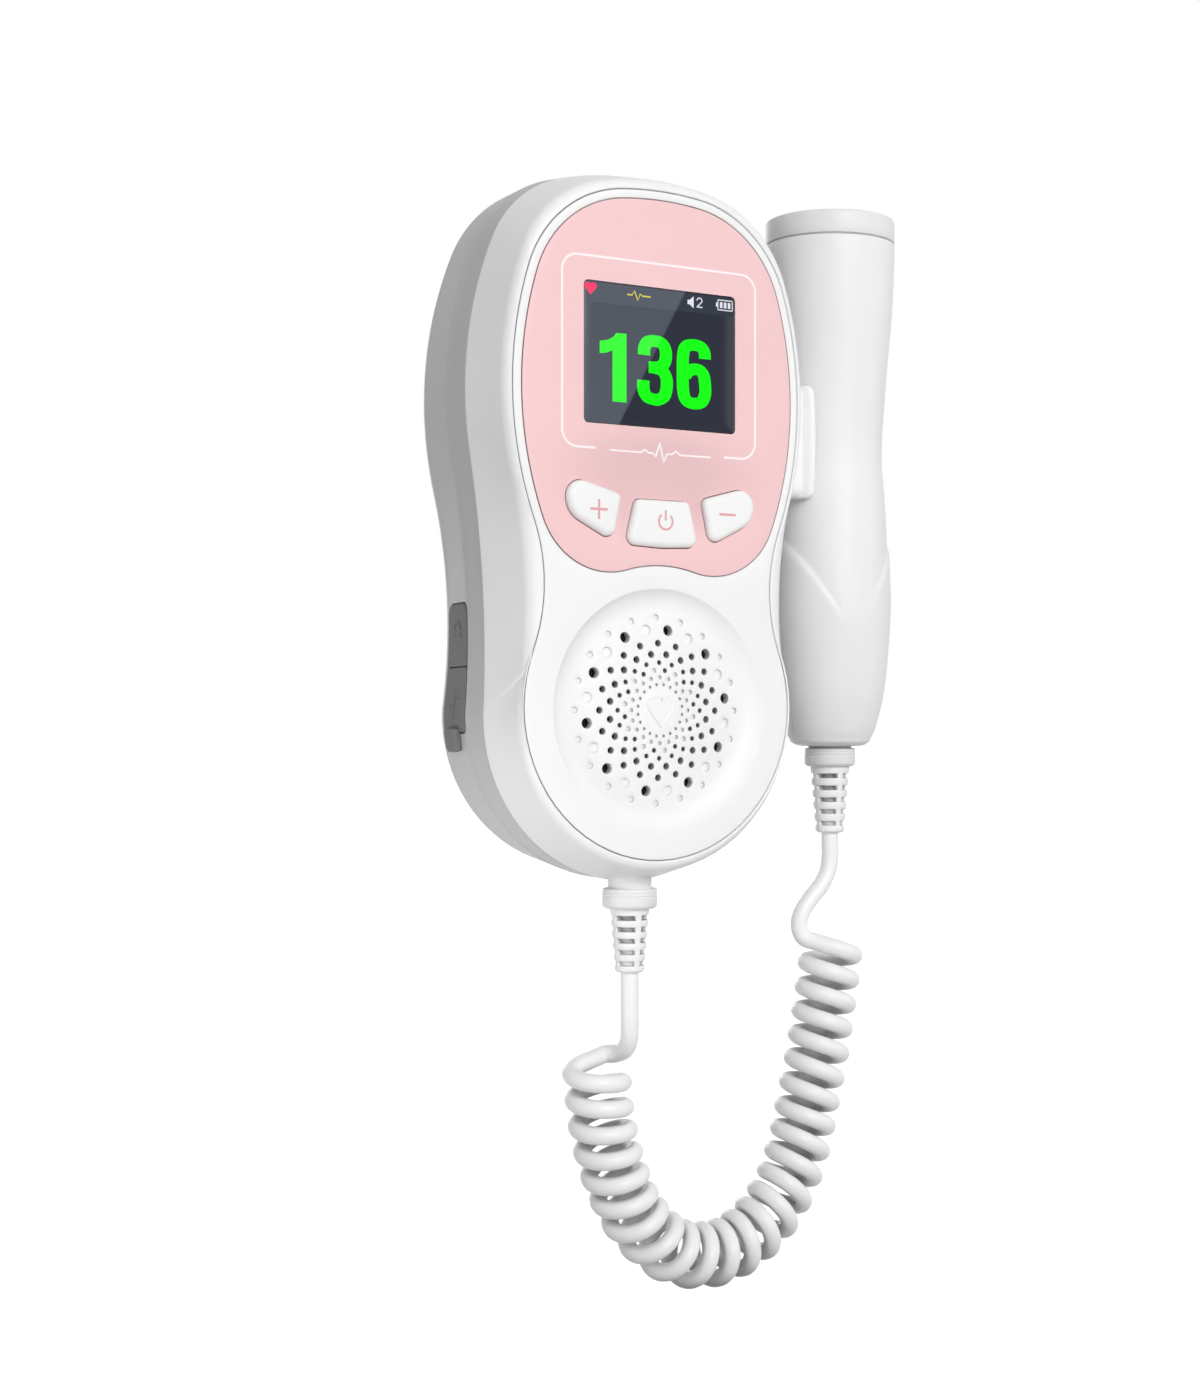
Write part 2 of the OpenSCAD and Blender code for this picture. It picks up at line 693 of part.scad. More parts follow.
module face_plate() color(white) difference() {
    union() {
        difference() {
            slab(0, plate_t) polygon(seam_outline(seam_gap));
            slab(-1, panel_t + eps) polygon(panel_outline(-part_gap / 2));
            slab(-1, window_t + seat_gap) window_shape(part_gap);
            slab(-1, plate_t + 1) window_shape(-window_ledge);
            slab(-1, plate_t + 1) button_shapes(button_gap);
            bar(0, speaker_z, dish_r + 0.15, -1, plate_t + 1);
        }
        speaker_dish();
        difference() {
            bar(0, speaker_z, speaker_r + 1.6, dish_d + dish_wall - 0.6, dish_d + dish_wall + 4);
            bar(0, speaker_z, speaker_r + 0.3, dish_d, dish_d + dish_wall + 5);
        }
        board_screw_places() bar(0, 0, board_pilot_r + 1.1, plate_t - 0.2, board_d);
    }
    board_screw_places() bar(0, 0, board_pilot_r, plate_t + 0.7, board_d + 1);
}

module panel_overlay() color(panel_pink) difference() {
    slab(0, panel_t) polygon(panel_outline(part_gap / 2));
    slab(-1, panel_t + 1) window_shape(part_gap);
    slab(-1, panel_t + 1) button_shapes(button_gap);
}

module display_window() color([0.16, 0.18, 0.22, 0.8]) slab(0, window_t) window_shape(0);

// ---------------------------------------------------------------- display, board and buttons

lcd_d = plate_t + part_gap;
lcd_w = screen_w + 2 * lcd_border;
lcd_h = screen_h + 2 * lcd_border;

module lcd_module() color([0.12, 0.14, 0.18]) slab(lcd_d, lcd_d + lcd_t)
    polygon(box_corners(lcd_w, lcd_h, screen_z));

module lcd_frame() color([0.30, 0.30, 0.32]) difference() {
    slab(lcd_d, board_d) polygon(box_corners(lcd_w + 3, lcd_h + 3, screen_z));
    slab(lcd_d - 1, lcd_d + lcd_t + seat_gap)
        polygon(box_corners(lcd_w + 2 * part_gap, lcd_h + 2 * part_gap, screen_z));
    slab(lcd_d, board_d + 1) polygon(box_corners(lcd_w - 8, lcd_h - 8, screen_z));
}

module main_board() color(board_green) difference() {
    slab(board_d, board_d + board_t) intersection() {
        polygon(seam_outline(board_in));
        translate([-upper_half_w, -board_drop]) square([2 * upper_half_w, case_top + board_drop]);
    }
    board_screw_places() bar(0, 0, small_screw_r + part_gap, board_d - 1, board_d + board_t + 1);
}

module board_screws() color(steel) board_screw_places() {
    bar(0, 0, small_screw_r, plate_t + 1, board_d + board_t + eps);
    bar(0, 0, 2 * small_screw_r, board_d + board_t, board_d + board_t + 1.2);
}

mat_t = 0.6;
dome_in_r = 2.5;
dome_wall_t = 0.4;
stem_d = plate_t + part_gap + button_flange_t + 1;
mat_top_d = stem_d + button_travel + part_gap;

module button_centres() {
    for (p = [plus_stem, power_stem, [-plus_stem[0], plus_stem[1]]])
        translate([p[0], 0, p[1]]) children();
}

module keypad_mat() color([0.75, 0.75, 0.74]) difference() {
    union() {
        slab(board_d - mat_t, board_d)
            polygon(rounded(box_corners(mat_w, mat_h, 2.5), [2, 2, 2, 2]));
        button_centres() bar(0, 0, dome_in_r + dome_wall_t, mat_top_d, board_d);
    }
    button_centres() bar(0, 0, dome_in_r, mat_top_d + dome_wall_t, board_d + 1);
}

module tact_switches() color(steel) button_centres() bar(0, 0, dome_in_r - 0.3, board_d - 0.5, board_d);

module button(corners, radii, stem) {
    steps = 4;
    rim = plate_t + part_gap;
    crown = [for (i = [steps:-1:0])
        let (a = 90 * i / steps)
        ring(rounded(corners, radii, button_round * (1 - cos(a))),
            -button_proud + button_round * (1 - sin(a)))];
    skin([for (r = concat(crown, [ring(rounded(corners, radii), rim + eps)])) r]);
    slab(rim, rim + button_flange_t) polygon(rounded(corners, radii, -button_flange));
    bar(stem[0], stem[1], button_stem_r, rim + button_flange_t - eps, stem_d);
}

module button_plus() color(white) button(plus_corners, plus_radii, plus_stem);
module button_power() color(white) button(power_corners, power_radii, power_stem);
module button_minus() color(white) mirror([1, 0, 0]) button(plus_corners, plus_radii, plus_stem);

// ---------------------------------------------------------------- loudspeaker

cloth_d = dish_d + dish_wall + seat_gap;
cloth_t = 0.25;
cone_d = cloth_d + cloth_t + seat_gap;
basket_d = cone_d + 6;

module speaker_cloth() color([0.15, 0.15, 0.15]) bar(0, speaker_z, speaker_r, cloth_d, cloth_d + cloth_t);

module speaker_frame() color([0.25, 0.25, 0.27]) turned(0, speaker_z) polygon([
    [speaker_r, cone_d], [speaker_r, cone_d + 1.4], [speaker_r - 1.5, cone_d + 1.4],
    [magnet_r + 1.5, basket_d], [magnet_r - 5, basket_d], [magnet_r - 5, basket_d - 1],
    [magnet_r + 1, basket_d - 1], [speaker_r - 2.4, cone_d + 0.7], [speaker_r - 2.4, cone_d]]);

module speaker_cone() color([0.10, 0.10, 0.10]) turned(0, speaker_z) polygon([
    [speaker_r - 2.5, cone_d], [speaker_r - 2.5, cone_d + 0.5], [6, cone_d + 3.6],
    [3.5, basket_d - 1.2], [0, basket_d - 1.2], [0, cone_d + 2.2], [3, cone_d + 2.6], [6, cone_d + 3.1]]);

module speaker_magnet() color(steel) bar(0, speaker_z, magnet_r, basket_d, basket_d + magnet_t);

// ---------------------------------------------------------------- battery and sockets

tray_d = inner_d - 1;

module battery_tray() color([0.55, 0.55, 0.56]) difference() {
    slab(tray_d - 4, inner_d - seat_gap)
        polygon(box_corners(battery_w + 2 * tray_wall, battery_h + 2 * tray_wall, battery_z));
    slab(tray_d - 5, tray_d)
        polygon(box_corners(battery_w + 2 * part_gap, battery_h + 2 * part_gap, battery_z));
}

module battery_pack() color([0.25, 0.35, 0.60]) slab(tray_d - seat_gap - battery_t, tray_d - seat_gap)
    polygon(rounded(box_corners(battery_w, battery_h, battery_z), [2, 2, 2, 2]));

flap_z1 = -flap_top_drop;
flap_mid = -flap_split_drop;
flap_z0 = -flap_end_drop;
port_d = (flap_d0 + flap_d1) / 2;
jack_z = (flap_z1 + flap_mid) / 2;
usb_z = (flap_mid + flap_z0) / 2 - 0.3;
port_mouth_x = -(lower_half_w - rear_lower_in - wall - 0.8);
port_board_d = port_d + port_board_back;
port_board_t = 1.2;
port_post_x = port_mouth_x + port_post_in;

module port_posts() {
    for (z = [jack_z, usb_z])
        bar(port_post_x, z, 2.2, port_board_d + port_board_t, inner_d + 1);
}

module port_board() color(board_green)
    block(port_mouth_x + 0.4, port_post_x + 3, port_board_d, port_board_d + port_board_t - seat_gap,
        usb_z - usb_w / 2 - 3, jack_z + 6);

module headphone_jack() color([0.12, 0.12, 0.12]) difference() {
    union() {
        block(port_mouth_x, port_mouth_x + jack_l, port_d - port_board_back, port_board_d,
            jack_z - jack_w / 2, jack_z + jack_w / 2);
        bar_x(port_mouth_x - 1.2, port_mouth_x + eps, jack_z, port_d, jack_r + 1);
    }
    bar_x(port_mouth_x - 2, port_mouth_x + jack_l - 1.5, jack_z, port_d, jack_r);
}

module usb_socket() color(steel) difference() {
    block(port_mouth_x, port_mouth_x + usb_l, port_d - usb_h / 2, port_board_d,
        usb_z - usb_w / 2, usb_z + usb_w / 2);
    block(port_mouth_x - 1, port_mouth_x + usb_l - 1.5, port_d - usb_h / 2 + 0.4, port_d + usb_h / 2 - 0.4,
        usb_z - usb_w / 2 + 0.4, usb_z + usb_w / 2 - 0.4);
}

// A layer of the case's left side, between two offsets from its surface
module side_layer(inner, outer, d0, d1, z0, z1) {
    difference() {
        intersection() {
            case_solid(outer);
            block(-upper_half_w - 5, -lower_half_w / 2, d0, d1, z0, z1);
        }
        case_solid(inner);
    }
}

module flap_pocket_cut() {
    side_layer(-flap_pocket, 3, flap_d0, flap_d1, flap_z0, flap_z1);
}

module port_flap_upper() color(flap_grey)
    side_layer(-flap_pocket + flap_gap, flap_proud, flap_d0 + flap_gap, flap_d1 - flap_gap,
        flap_mid + flap_gap / 2, flap_z1 - flap_gap);

module port_flap_lower() color(flap_grey) union() {
    side_layer(-flap_pocket + flap_gap, flap_proud, flap_d0 + flap_gap, flap_d1 - flap_gap,
        flap_z0 + flap_gap, flap_mid - flap_gap / 2);
    side_layer(flap_proud - 0.1, flap_proud + 1.3, port_d - tab_w / 2, port_d + tab_w / 2,
        flap_z0 - tab_l, flap_z0 + 1.5);
}

// ---------------------------------------------------------------- cords

// Points on a smooth curve through a list, with steps places between each two
function curve_point(p, i, t) =
    let (n = len(p) - 1, a = p[max(0, i - 1)], b = p[i], c = p[min(n, i + 1)], e = p[min(n, i + 2)])
    0.5 * (2 * b + (c - a) * t + (2 * a - 5 * b + 4 * c - e) * t * t
        + (3 * b - a - 3 * c + e) * t * t * t);

function curve(p, steps) =
    concat([for (i = [0:len(p) - 2], k = [0:steps - 1]) curve_point(p, i, k / steps)], [p[len(p) - 1]]);

// The axis of the curly cord, every second curl, from two curls before it to two after it
curl_axis = [
    [-7.6, -24.1, -101.8], [-6.8, -24.0, -112.1], [-5.3, -23.9, -122.5], [-2.1, -23.6, -132.5],
    [3.1, -23.2, -141.8], [12.3, -22.4, -149.6], [23.8, -21.5, -151.6], [34.3, -20.7, -147.8],
    [41.9, -20.1, -140.1], [46.3, -19.8, -130.5], [49.0, -19.5, -120.5], [51.6, -19.3, -110.1],
    [53.6, -19.1, -99.6], [55.3, -19.0, -89.0], [56.8, -18.9, -78.6]];
curl_start = -0.5;
curl_end = curl_count + 0.12;
rings_per_curl = 8;

function curl_centre(k) =
    let (s = 1 + k * (len(curl_axis) - 3) / curl_count, i = min(len(curl_axis) - 2, max(0, floor(s))))
    curve_point(curl_axis, i, s - i);

// The cord winds left-handed: front to right to back on the way down
function curl_point(k) =
    let (t = unit(curl_centre(k + 0.05) - curl_centre(k - 0.05)), front = unit([0, -1, 0] - t * (-t[1])))
    curl_centre(k) + curl_r * (cos(360 * k) * front + sin(360 * k) * cross(front, t));

curl_steps = round((curl_end - curl_start) * rings_per_curl);
curl_first = curl_point(curl_start);
curl_last = curl_point(curl_end);
curl_in = unit(curl_point(curl_start + 0.02) - curl_first);
curl_out = unit(curl_last - curl_point(curl_end - 0.02));
curl_route = concat(
    [curl_first - cord_d * curl_in],
    [for (i = [0:curl_steps]) curl_point(mix(curl_start, curl_end, i / curl_steps))],
    [curl_last + cord_d * curl_out]);

relief_top = -case_bottom - gland_gap - gland_collar_h;
relief_end = relief_top - relief_l;
probe_relief_top = -probe_drop - probe_gland_gap - probe_collar_h;
probe_relief_end = probe_relief_top - probe_relief_l;

// Free leads, as points chosen by hand between the strain reliefs and the curls
lead_main_points = [
    [0, -25.5, -90.2], [0, -25.5, -94], [0, -25.5, -98], [0.1, -25.4, -101.4],
    [0.4, -24.5, -104.4], [0.5, -22.6, -106.6], [-0.2, -20.4, -107.6], [-1.5, -18.9, -107.8]];
lead_probe_points = [
    [47.5, -19.2, -85.7], [46.9, -18.8, -83.6], [47.4, -18.8, -81.0], [49.6, -18.9, -77.9],
    [52.5, -19.0, -74.9], [54.4, -19.0, -71.8], [55, -19, -68.4], [55, -19, -65.6], [55, -19, -63.2]];

curl_tail = curl_route[len(curl_route) - 1];
lead_main_route = concat(curve(lead_main_points, 2), [curl_route[0] - curl_in, curl_route[0]]);
lead_probe_route = concat([curl_tail, curl_tail + curl_out], curve(lead_probe_points, 2));

// Tube of the cord's diameter along a route, its rings square to the route and free of twist
function turned_along(v, t) = unit(v - t * (v * t));
function tangents(p) = [for (i = [0:len(p) - 1]) unit(p[min(len(p) - 1, i + 1)] - p[max(0, i - 1)])];
function frames(p, t, i = 0, last = undef, done = []) =
    i >= len(p) ? done :
    let (u = turned_along(is_undef(last) ? (abs(t[0][2]) > 0.8 ? [1, 0, 0] : [0, 0, 1]) : last, t[i]))
    frames(p, t, i + 1, u, concat(done, [u]));

module cord_tube(route, sides) {
    t = tangents(route);
    u = frames(route, t);
    skin([for (i = [0:len(route) - 1])
        [for (j = [0:sides - 1]) let (a = 360 * j / sides)
            route[i] + cord_d / 2 * (cos(a) * u[i] + sin(a) * cross(t[i], u[i]))]]);
}

// Least gap between neighbouring curls, from points on the cord's centre line
function curl_gap_at(i) = min([for (j = [i + 5:min(curl_steps, i + 11)])
    norm(curl_route[i + 1] - curl_route[j + 1])]) - cord_d;
least_curl_gap = min([for (i = [0:curl_steps - 5]) curl_gap_at(i)]);
echo(least_curl_gap = least_curl_gap);

module cord_lead_main() color(white) cord_tube(lead_main_route, 8);
module cord_curls() color(white) cord_tube(curl_route, 6);
module cord_lead_probe() color(white) cord_tube(lead_probe_route, 8);

// A tapered strain relief that hangs under z_top, with rows of slots on its four diagonals
module strain_relief(x, y, z_top, length, r0, r1) {
    pitch = length / (slot_rows + 0.6);
    translate([x, y, z_top - length]) difference() {
        cylinder(h = length, r1 = r1, r2 = r0);
        for (i = [0:slot_rows - 1], a = [45:90:315]) {
            z = pitch * (i + 0.8);
            r = mix(r1, r0, z / length);
            rotate([0, 0, a])
                translate([cord_d / 2 + 0.35, -r * 0.62, z - slot_h / 2])
                    cube([r0, 1.24 * r, slot_h]);
        }
    }
}

// A gland: a flange inside the wall, a neck through it and a collar outside
module gland(x, y, z_collar, neck_r, collar_r, collar_h, neck_h) {
    translate([x, y, z_collar - collar_h]) {
        cylinder(h = 0.5, r1 = collar_r - 0.5, r2 = collar_r);
        translate([0, 0, 0.5 - eps]) cylinder(h = collar_h - 0.5 + eps, r = collar_r);
        translate([0, 0, collar_h - eps]) cylinder(h = neck_h, r = neck_r);
        translate([0, 0, collar_h + neck_h - 0.2]) cylinder(h = 1.2, r = neck_r + 0.8);
    }
}

module cord_gland_main() color(white)
    gland(0, parting_d - case_depth, relief_top + gland_collar_h, gland_neck_r, gland_collar_r,
        gland_collar_h, gland_gap + wall + 3.9);

module strain_relief_main() color(white)
    strain_relief(0, parting_d - case_depth, relief_top, relief_l, relief_r0, relief_r1);

// ---------------------------------------------------------------- probe

module at_probe() translate([probe_x, -probe_y, 0]) children();

cap_z = probe_top - cap_h;
// Half profile of the neck, from the grip to the cap, as heights and radii on a smooth curve
neck_points = [
    [grip_r - 1.2, -26], [grip_r - 0.6, -14], [grip_r - 0.8, -1.5], [mix(probe_waist_r, grip_r, 0.32), probe_waist_z - 10],
    [probe_waist_r, probe_waist_z], [mix(probe_waist_r, probe_r, 0.36), probe_waist_z + 16],
    [mix(probe_waist_r, probe_r, 0.82), probe_waist_z + 31], [probe_r, cap_z - 3], [probe_r, cap_z]];
// Half profile of the grip, from the lower end up
grip_points = [
    [grip_r - 3.1, -probe_drop + 5], [grip_r - 1.7, -probe_drop + 10.6], [grip_r - 0.8, -probe_drop + 17.6],
    [grip_r - 0.1, -probe_drop + 27], [grip_r, -probe_drop + 34], [grip_r - 0.35, -1.5], [grip_r - 0.6, 4]];
end_r = 6.4;
end_round = [[end_r, -probe_drop], [end_r + 1.9, -probe_drop + 0.8], [end_r + 2.9, -probe_drop + 2.2]];

neck_profile = curve(neck_points, 3);
grip_profile = concat(end_round, curve(grip_points, 3));

function thinned(p, t) = [for (q = p) [q[0] - t, q[1]]];

// Half of a turned shell, the front half or the rear half
module half_turned(front) {
    rotate_extrude(angle = 180, start = front ? 180 : 0)
        children();
}

module axis_polygon(p) {
    polygon(concat([[0, p[0][1]]], p, [[0, p[len(p) - 1][1]]]));
}

// The space below the grip's crease: a prism whose top is a V, seen from the front
module below_crease() {
    rise = 40;
    rotate([0, 0, -crease_turn])
        rotate([90, 0, 0])
            translate([0, 0, -20])
                linear_extrude(40)
                    polygon([[-30, -probe_drop - 1], [30, -probe_drop - 1], [30, -crease_drop + rise],
                        [rise / crease_slope, -crease_drop + rise], [0, -crease_drop],
                        [-rise / crease_slope, -crease_drop + rise], [-30, -crease_drop + rise]]);
}

neck_hole_r = probe_neck_r + part_gap;

module probe_shell(front) {
    difference() {
        union() {
            half_turned(front) axis_polygon(neck_profile);
            intersection() {
                half_turned(front) axis_polygon(grip_profile);
                below_crease();
            }
        }
        rotate_extrude() axis_polygon(concat(
            [[neck_hole_r, -probe_drop - 1], [neck_hole_r, -probe_drop + probe_wall],
             [end_r + 0.8, -probe_drop + probe_wall]],
            thinned([for (q = curve(grip_points, 3)) if (q[1] < -27) q], probe_wall),
            thinned(neck_profile, probe_wall), [[probe_r - probe_wall, cap_z + 1]]));
    }
}

module probe_shell_front() color(white) at_probe() probe_shell(true);
module probe_shell_rear() color(white) at_probe() probe_shell(false);

skirt_r = probe_r - probe_wall - part_gap;
skirt_t = 0.6;
crystal_r = skirt_r - skirt_t - part_gap;
face_r = probe_r - 1.3;
face_z = probe_top - face_t;
crystal_z = face_z - seat_gap - crystal_t;
gasket_h = 0.5;

module probe_cap() color(white) at_probe() rotate_extrude() polygon([
    [face_r, face_z - part_gap], [face_r, probe_top], [probe_r - 0.6, probe_top], [probe_r - 0.15, probe_top - 0.45],
    [probe_r, cap_z + gasket_h + seat_gap], [skirt_r, cap_z + gasket_h + seat_gap], [skirt_r, cap_z - 5],
    [skirt_r - skirt_t, cap_z - 5], [skirt_r - skirt_t, face_z - part_gap]]);

module probe_gasket() color([0.55, 0.55, 0.55]) at_probe() rotate_extrude()
    translate([skirt_r + seat_gap, cap_z + seat_gap / 2])
        square([probe_r - skirt_r - 0.25, gasket_h]);

module probe_face() color([0.88, 0.88, 0.87]) at_probe() translate([0, 0, face_z])
    cylinder(h = face_t, r = face_r - seat_gap);

module crystal_discs() color([0.80, 0.72, 0.45]) at_probe() for (start = [0, 180])
    translate([0, start == 0 ? crystal_gap / 2 : -crystal_gap / 2, crystal_z])
        rotate_extrude(angle = 180, start = start)
            square([crystal_r - crystal_gap / 2, crystal_t]);

module backing_block() color([0.30, 0.28, 0.26]) at_probe()
    translate([0, 0, crystal_z - seat_gap - backing_h])
        cylinder(h = backing_h, r = crystal_r);

module probe_board() color(board_green) at_probe() {
    half_w = probe_waist_r - probe_wall - 0.35;
    top = crystal_z - 2 * seat_gap - backing_h - 8;
    translate([-half_w, -probe_board_t / 2, top - probe_board_l])
        cube([2 * half_w, probe_board_t, probe_board_l]);
}

module cord_gland_probe() color(white)
    gland(probe_x, -probe_y, probe_relief_top + probe_collar_h, probe_neck_r, probe_collar_r,
        probe_collar_h, probe_gland_gap + probe_wall + 0.25);

module strain_relief_probe() color(white)
    strain_relief(probe_x, -probe_y, probe_relief_top, probe_relief_l, probe_relief_r0, probe_relief_r1);

// ---------------------------------------------------------------- cradle

// The saddle clears the widest stretch of probe that passes it
saddle_r = mix(probe_waist_r, probe_r, 0.32) + cradle_gap;
saddle_mid_r = saddle_r + cradle_wall / 2;
cradle_h = cradle_z1 - cradle_z0;

module cradle_screw_places() {
    for (z = [cradle_z0 + 6, cradle_z1 - 6])
        translate([upper_half_w, -probe_y, z]) rotate([0, 90, 0]) children();
}

// The saddle's band, seen from above, with round lips
cradle_band =
    let (a0 = 270 - cradle_rear_a, a1 = 270 - cradle_front_a, c = [probe_x, -probe_y])
    let (lip0 = c + saddle_mid_r * [cos(a0), sin(a0)], lip1 = c + saddle_mid_r * [cos(a1), sin(a1)])
    concat(
        arc(c, saddle_r + cradle_wall, a0, a1, 36),
        tail(arc(lip1, cradle_wall / 2, a1, a1 + 180, 6)),
        tail(arc(c, saddle_r, a1, a0, 36)),
        [for (i = [1:5]) lip0 + cradle_wall / 2 * [cos(a0 + 180 + 30 * i), sin(a0 + 180 + 30 * i)]]);

module probe_cradle() color(white) difference() {
    translate([0, 0, cradle_z0]) linear_extrude(cradle_h) {
        polygon(cradle_band);
        difference() {
            translate([upper_half_w - 4, foot_d0 - case_depth])
                square([probe_x - saddle_mid_r * 0.72 - upper_half_w + 4, foot_d1 - foot_d0]);
            translate([probe_x, -probe_y]) circle(r = saddle_mid_r);
        }
    }
    case_solid(seat_gap);
    cradle_screw_places() translate([0, 0, -2]) cylinder(h = 8, r = small_screw_r + seat_gap);
}

module cradle_screws() color(steel) cradle_screw_places() {
    translate([0, 0, -wall - 1.6]) cylinder(h = 4.6, r = small_screw_r);
    translate([0, 0, -wall - 2.6]) cylinder(h = 1.2, r = 2 * small_screw_r);
}

// ---------------------------------------------------------------- nodes

front_shell();
rear_shell();
face_plate();
panel_overlay();
display_window();
lcd_module();
lcd_frame();
main_board();
board_screws();
keypad_mat();
tact_switches();
button_plus();
button_power();
button_minus();
speaker_cloth();
speaker_frame();
speaker_cone();
speaker_magnet();
battery_tray();
battery_pack();
port_board();
headphone_jack();
usb_socket();
port_flap_upper();
port_flap_lower();
probe_cradle();
cradle_screws();
case_screws();
cord_gland_main();
strain_relief_main();
cord_lead_main();
cord_curls();
cord_lead_probe();
strain_relief_probe();
cord_gland_probe();
probe_shell_front();
probe_shell_rear();
probe_cap();
probe_gasket();
probe_face();
crystal_discs();
backing_block();
probe_board();
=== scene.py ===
"""Dressed scene of a hand-held fetal doppler monitor with a docked probe on a curly lead.

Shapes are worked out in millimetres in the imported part's own frame (+X right, +Z up, display
towards -Y, origin at the centre of the flat rear face) and turned into metres when a mesh is made.
"""

import math

import bmesh
import bpy
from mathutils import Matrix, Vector
from mathutils.geometry import delaunay_2d_cdt


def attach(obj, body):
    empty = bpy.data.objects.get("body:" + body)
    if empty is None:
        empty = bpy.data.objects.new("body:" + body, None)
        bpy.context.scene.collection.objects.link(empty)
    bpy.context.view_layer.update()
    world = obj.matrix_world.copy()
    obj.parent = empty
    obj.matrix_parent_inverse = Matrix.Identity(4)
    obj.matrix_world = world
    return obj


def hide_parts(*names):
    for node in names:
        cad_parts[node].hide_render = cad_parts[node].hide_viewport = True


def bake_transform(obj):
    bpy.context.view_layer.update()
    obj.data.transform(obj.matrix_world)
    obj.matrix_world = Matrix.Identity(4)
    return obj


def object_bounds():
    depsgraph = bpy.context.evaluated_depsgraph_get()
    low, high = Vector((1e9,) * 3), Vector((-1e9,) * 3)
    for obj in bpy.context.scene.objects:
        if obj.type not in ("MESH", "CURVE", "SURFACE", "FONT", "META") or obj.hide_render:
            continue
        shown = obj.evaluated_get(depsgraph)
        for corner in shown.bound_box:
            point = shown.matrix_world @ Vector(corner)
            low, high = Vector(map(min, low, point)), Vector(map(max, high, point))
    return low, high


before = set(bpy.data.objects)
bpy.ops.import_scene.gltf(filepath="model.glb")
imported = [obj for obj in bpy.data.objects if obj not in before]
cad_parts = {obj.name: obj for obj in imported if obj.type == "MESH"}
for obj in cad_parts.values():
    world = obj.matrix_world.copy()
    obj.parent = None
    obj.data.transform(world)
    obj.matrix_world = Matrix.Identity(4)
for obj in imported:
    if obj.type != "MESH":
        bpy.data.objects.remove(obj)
cad_low, cad_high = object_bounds()

MM = 0.001

# ---------------------------------------------------------------- sizes in millimetres
# They are those of the part's source, apart from a few fitted closer to the photo, among them
# the heart's width, the cord's thickness, the dish's wall and the cradle's front.

CASE_TOP, CASE_BOTTOM = 72.8, 71.5
UPPER_W, UPPER_Z, LOWER_W, LOWER_DROP = 37.5, 26.7, 33.5, 38.0
PART_RADII = (60, 23, 80, 250, 28)
SEAM_TOP_IN, SEAM_BOTTOM_IN, SEAM_UPPER_IN, SEAM_LOWER_IN, SEAM_LOBE_UP = 5.4, 4.7, 4.2, 3.5, 6.0
SEAM_RADII = (72, 25, 76, 36, 20.5)
REAR_TOP_OUT, REAR_BOTTOM_IN, REAR_UPPER_IN, REAR_LOWER_IN = 1.8, 1.9, 1.2, 1.3
REAR_RADII = (60, 27, 80, 120, 24)

CASE_DEPTH, PARTING_D, CREASE_D, CREASE_OUT = 38.0, 12.5, 19.5, 0.4
FRONT_ROUND, FRONT_SHARE, ROUND_END = 3.0, 0.5, 75
REAR_FILLET, WALL, LEDGE_W = 5.0, 2.2, 2.5

PLATE_T, PANEL_T, PANEL_IN, PANEL_LOBE_R, CREST_R = 2.2, 0.35, 1.9, 15.5, 28.95
SCREEN_W, SCREEN_H, SCREEN_Z, WINDOW_T = 35.2, 27.9, 33.9, 1.1

SPEAKER_Z, DISH_R, DISH_FLOOR_R, DISH_D, DOME_RISE, DISH_WALL = -36.65, 24.35, 20.0, 2.2, 2.0, 1.8
GRILLE_COUNT = 20
# Rings of the grille: radius, hole radius, share of a step turned, and which go through:
# 1 all of them, 0 none, 2 every other one
GRILLE_RINGS = (
    (18.7, 0.65, 0, 0), (16.3, 1.1, 0.5, 2), (13.5, 0.7, 0, 1), (11.35, 0.72, 0.5, 1),
    (9.6, 0.5, 0, 1), (8.1, 0.5, 0.5, 2), (6.6, 0.42, 0, 0), (5.2, 0.33, 0.5, 0))
HEART_W = 6.4

BUTTON_PROUD, BUTTON_ROUND = 1.5, 1.2
PLUS_CORNERS = ((-21.7, 9.4), (-21.7, 2.0), (-11.4, -3.2), (-9.5, 6.1))
PLUS_RADII = (3.2, 5.0, 1.9, 1.4)
POWER_CORNERS = ((-6.1, 5.4), (-8.4, -3.7), (0, -4.1), (8.4, -3.7), (6.1, 5.4))
POWER_RADII = (1.3, 1.8, 30, 1.8, 1.3)

FLAP_D0, FLAP_D1, FLAP_TOP, FLAP_SPLIT, FLAP_END = 20.8, 33.0, -14.8, -27.8, -41.2
FLAP_GAP, FLAP_PROUD, FLAP_POCKET, TAB_L, TAB_W = 0.2, 0.3, 1.0, 3.6, 5.8
PORT_D = (FLAP_D0 + FLAP_D1) / 2
PORT_MOUTH_X = -(LOWER_W - REAR_LOWER_IN - WALL - 0.8)

PROBE_X, PROBE_Y, PROBE_TOP, CAP_H = 55.0, -19.0, 71.3, 5.3
PROBE_R, WAIST_R, WAIST_Z, GRIP_R, PROBE_DROP = 14.2, 11.4, 20.5, 13.4, 44.15
CREASE_DROP, CREASE_SLOPE, CREASE_TURN = 20.7, 1.6, 13
CRADLE_WALL, CRADLE_Z0, CRADLE_Z1, CRADLE_FRONT_A, CRADLE_REAR_A = 2.2, 9.2, 33.5, 57, 170
CRADLE_LIP = 1.9
FOOT_D0, FOOT_D1 = 10.0, 28.0

CORD_D, CURL_R, CURL_COUNT = 3.75, 5.2, 24
GLAND_Y = PARTING_D - CASE_DEPTH


def mix(a, b, t):
    return a * (1 - t) + b * t


def smooth(t):
    t = min(1.0, max(0.0, t))
    return t * t * (3 - 2 * t)


def angle_of(v):
    return math.degrees(math.atan2(v.y, v.x))


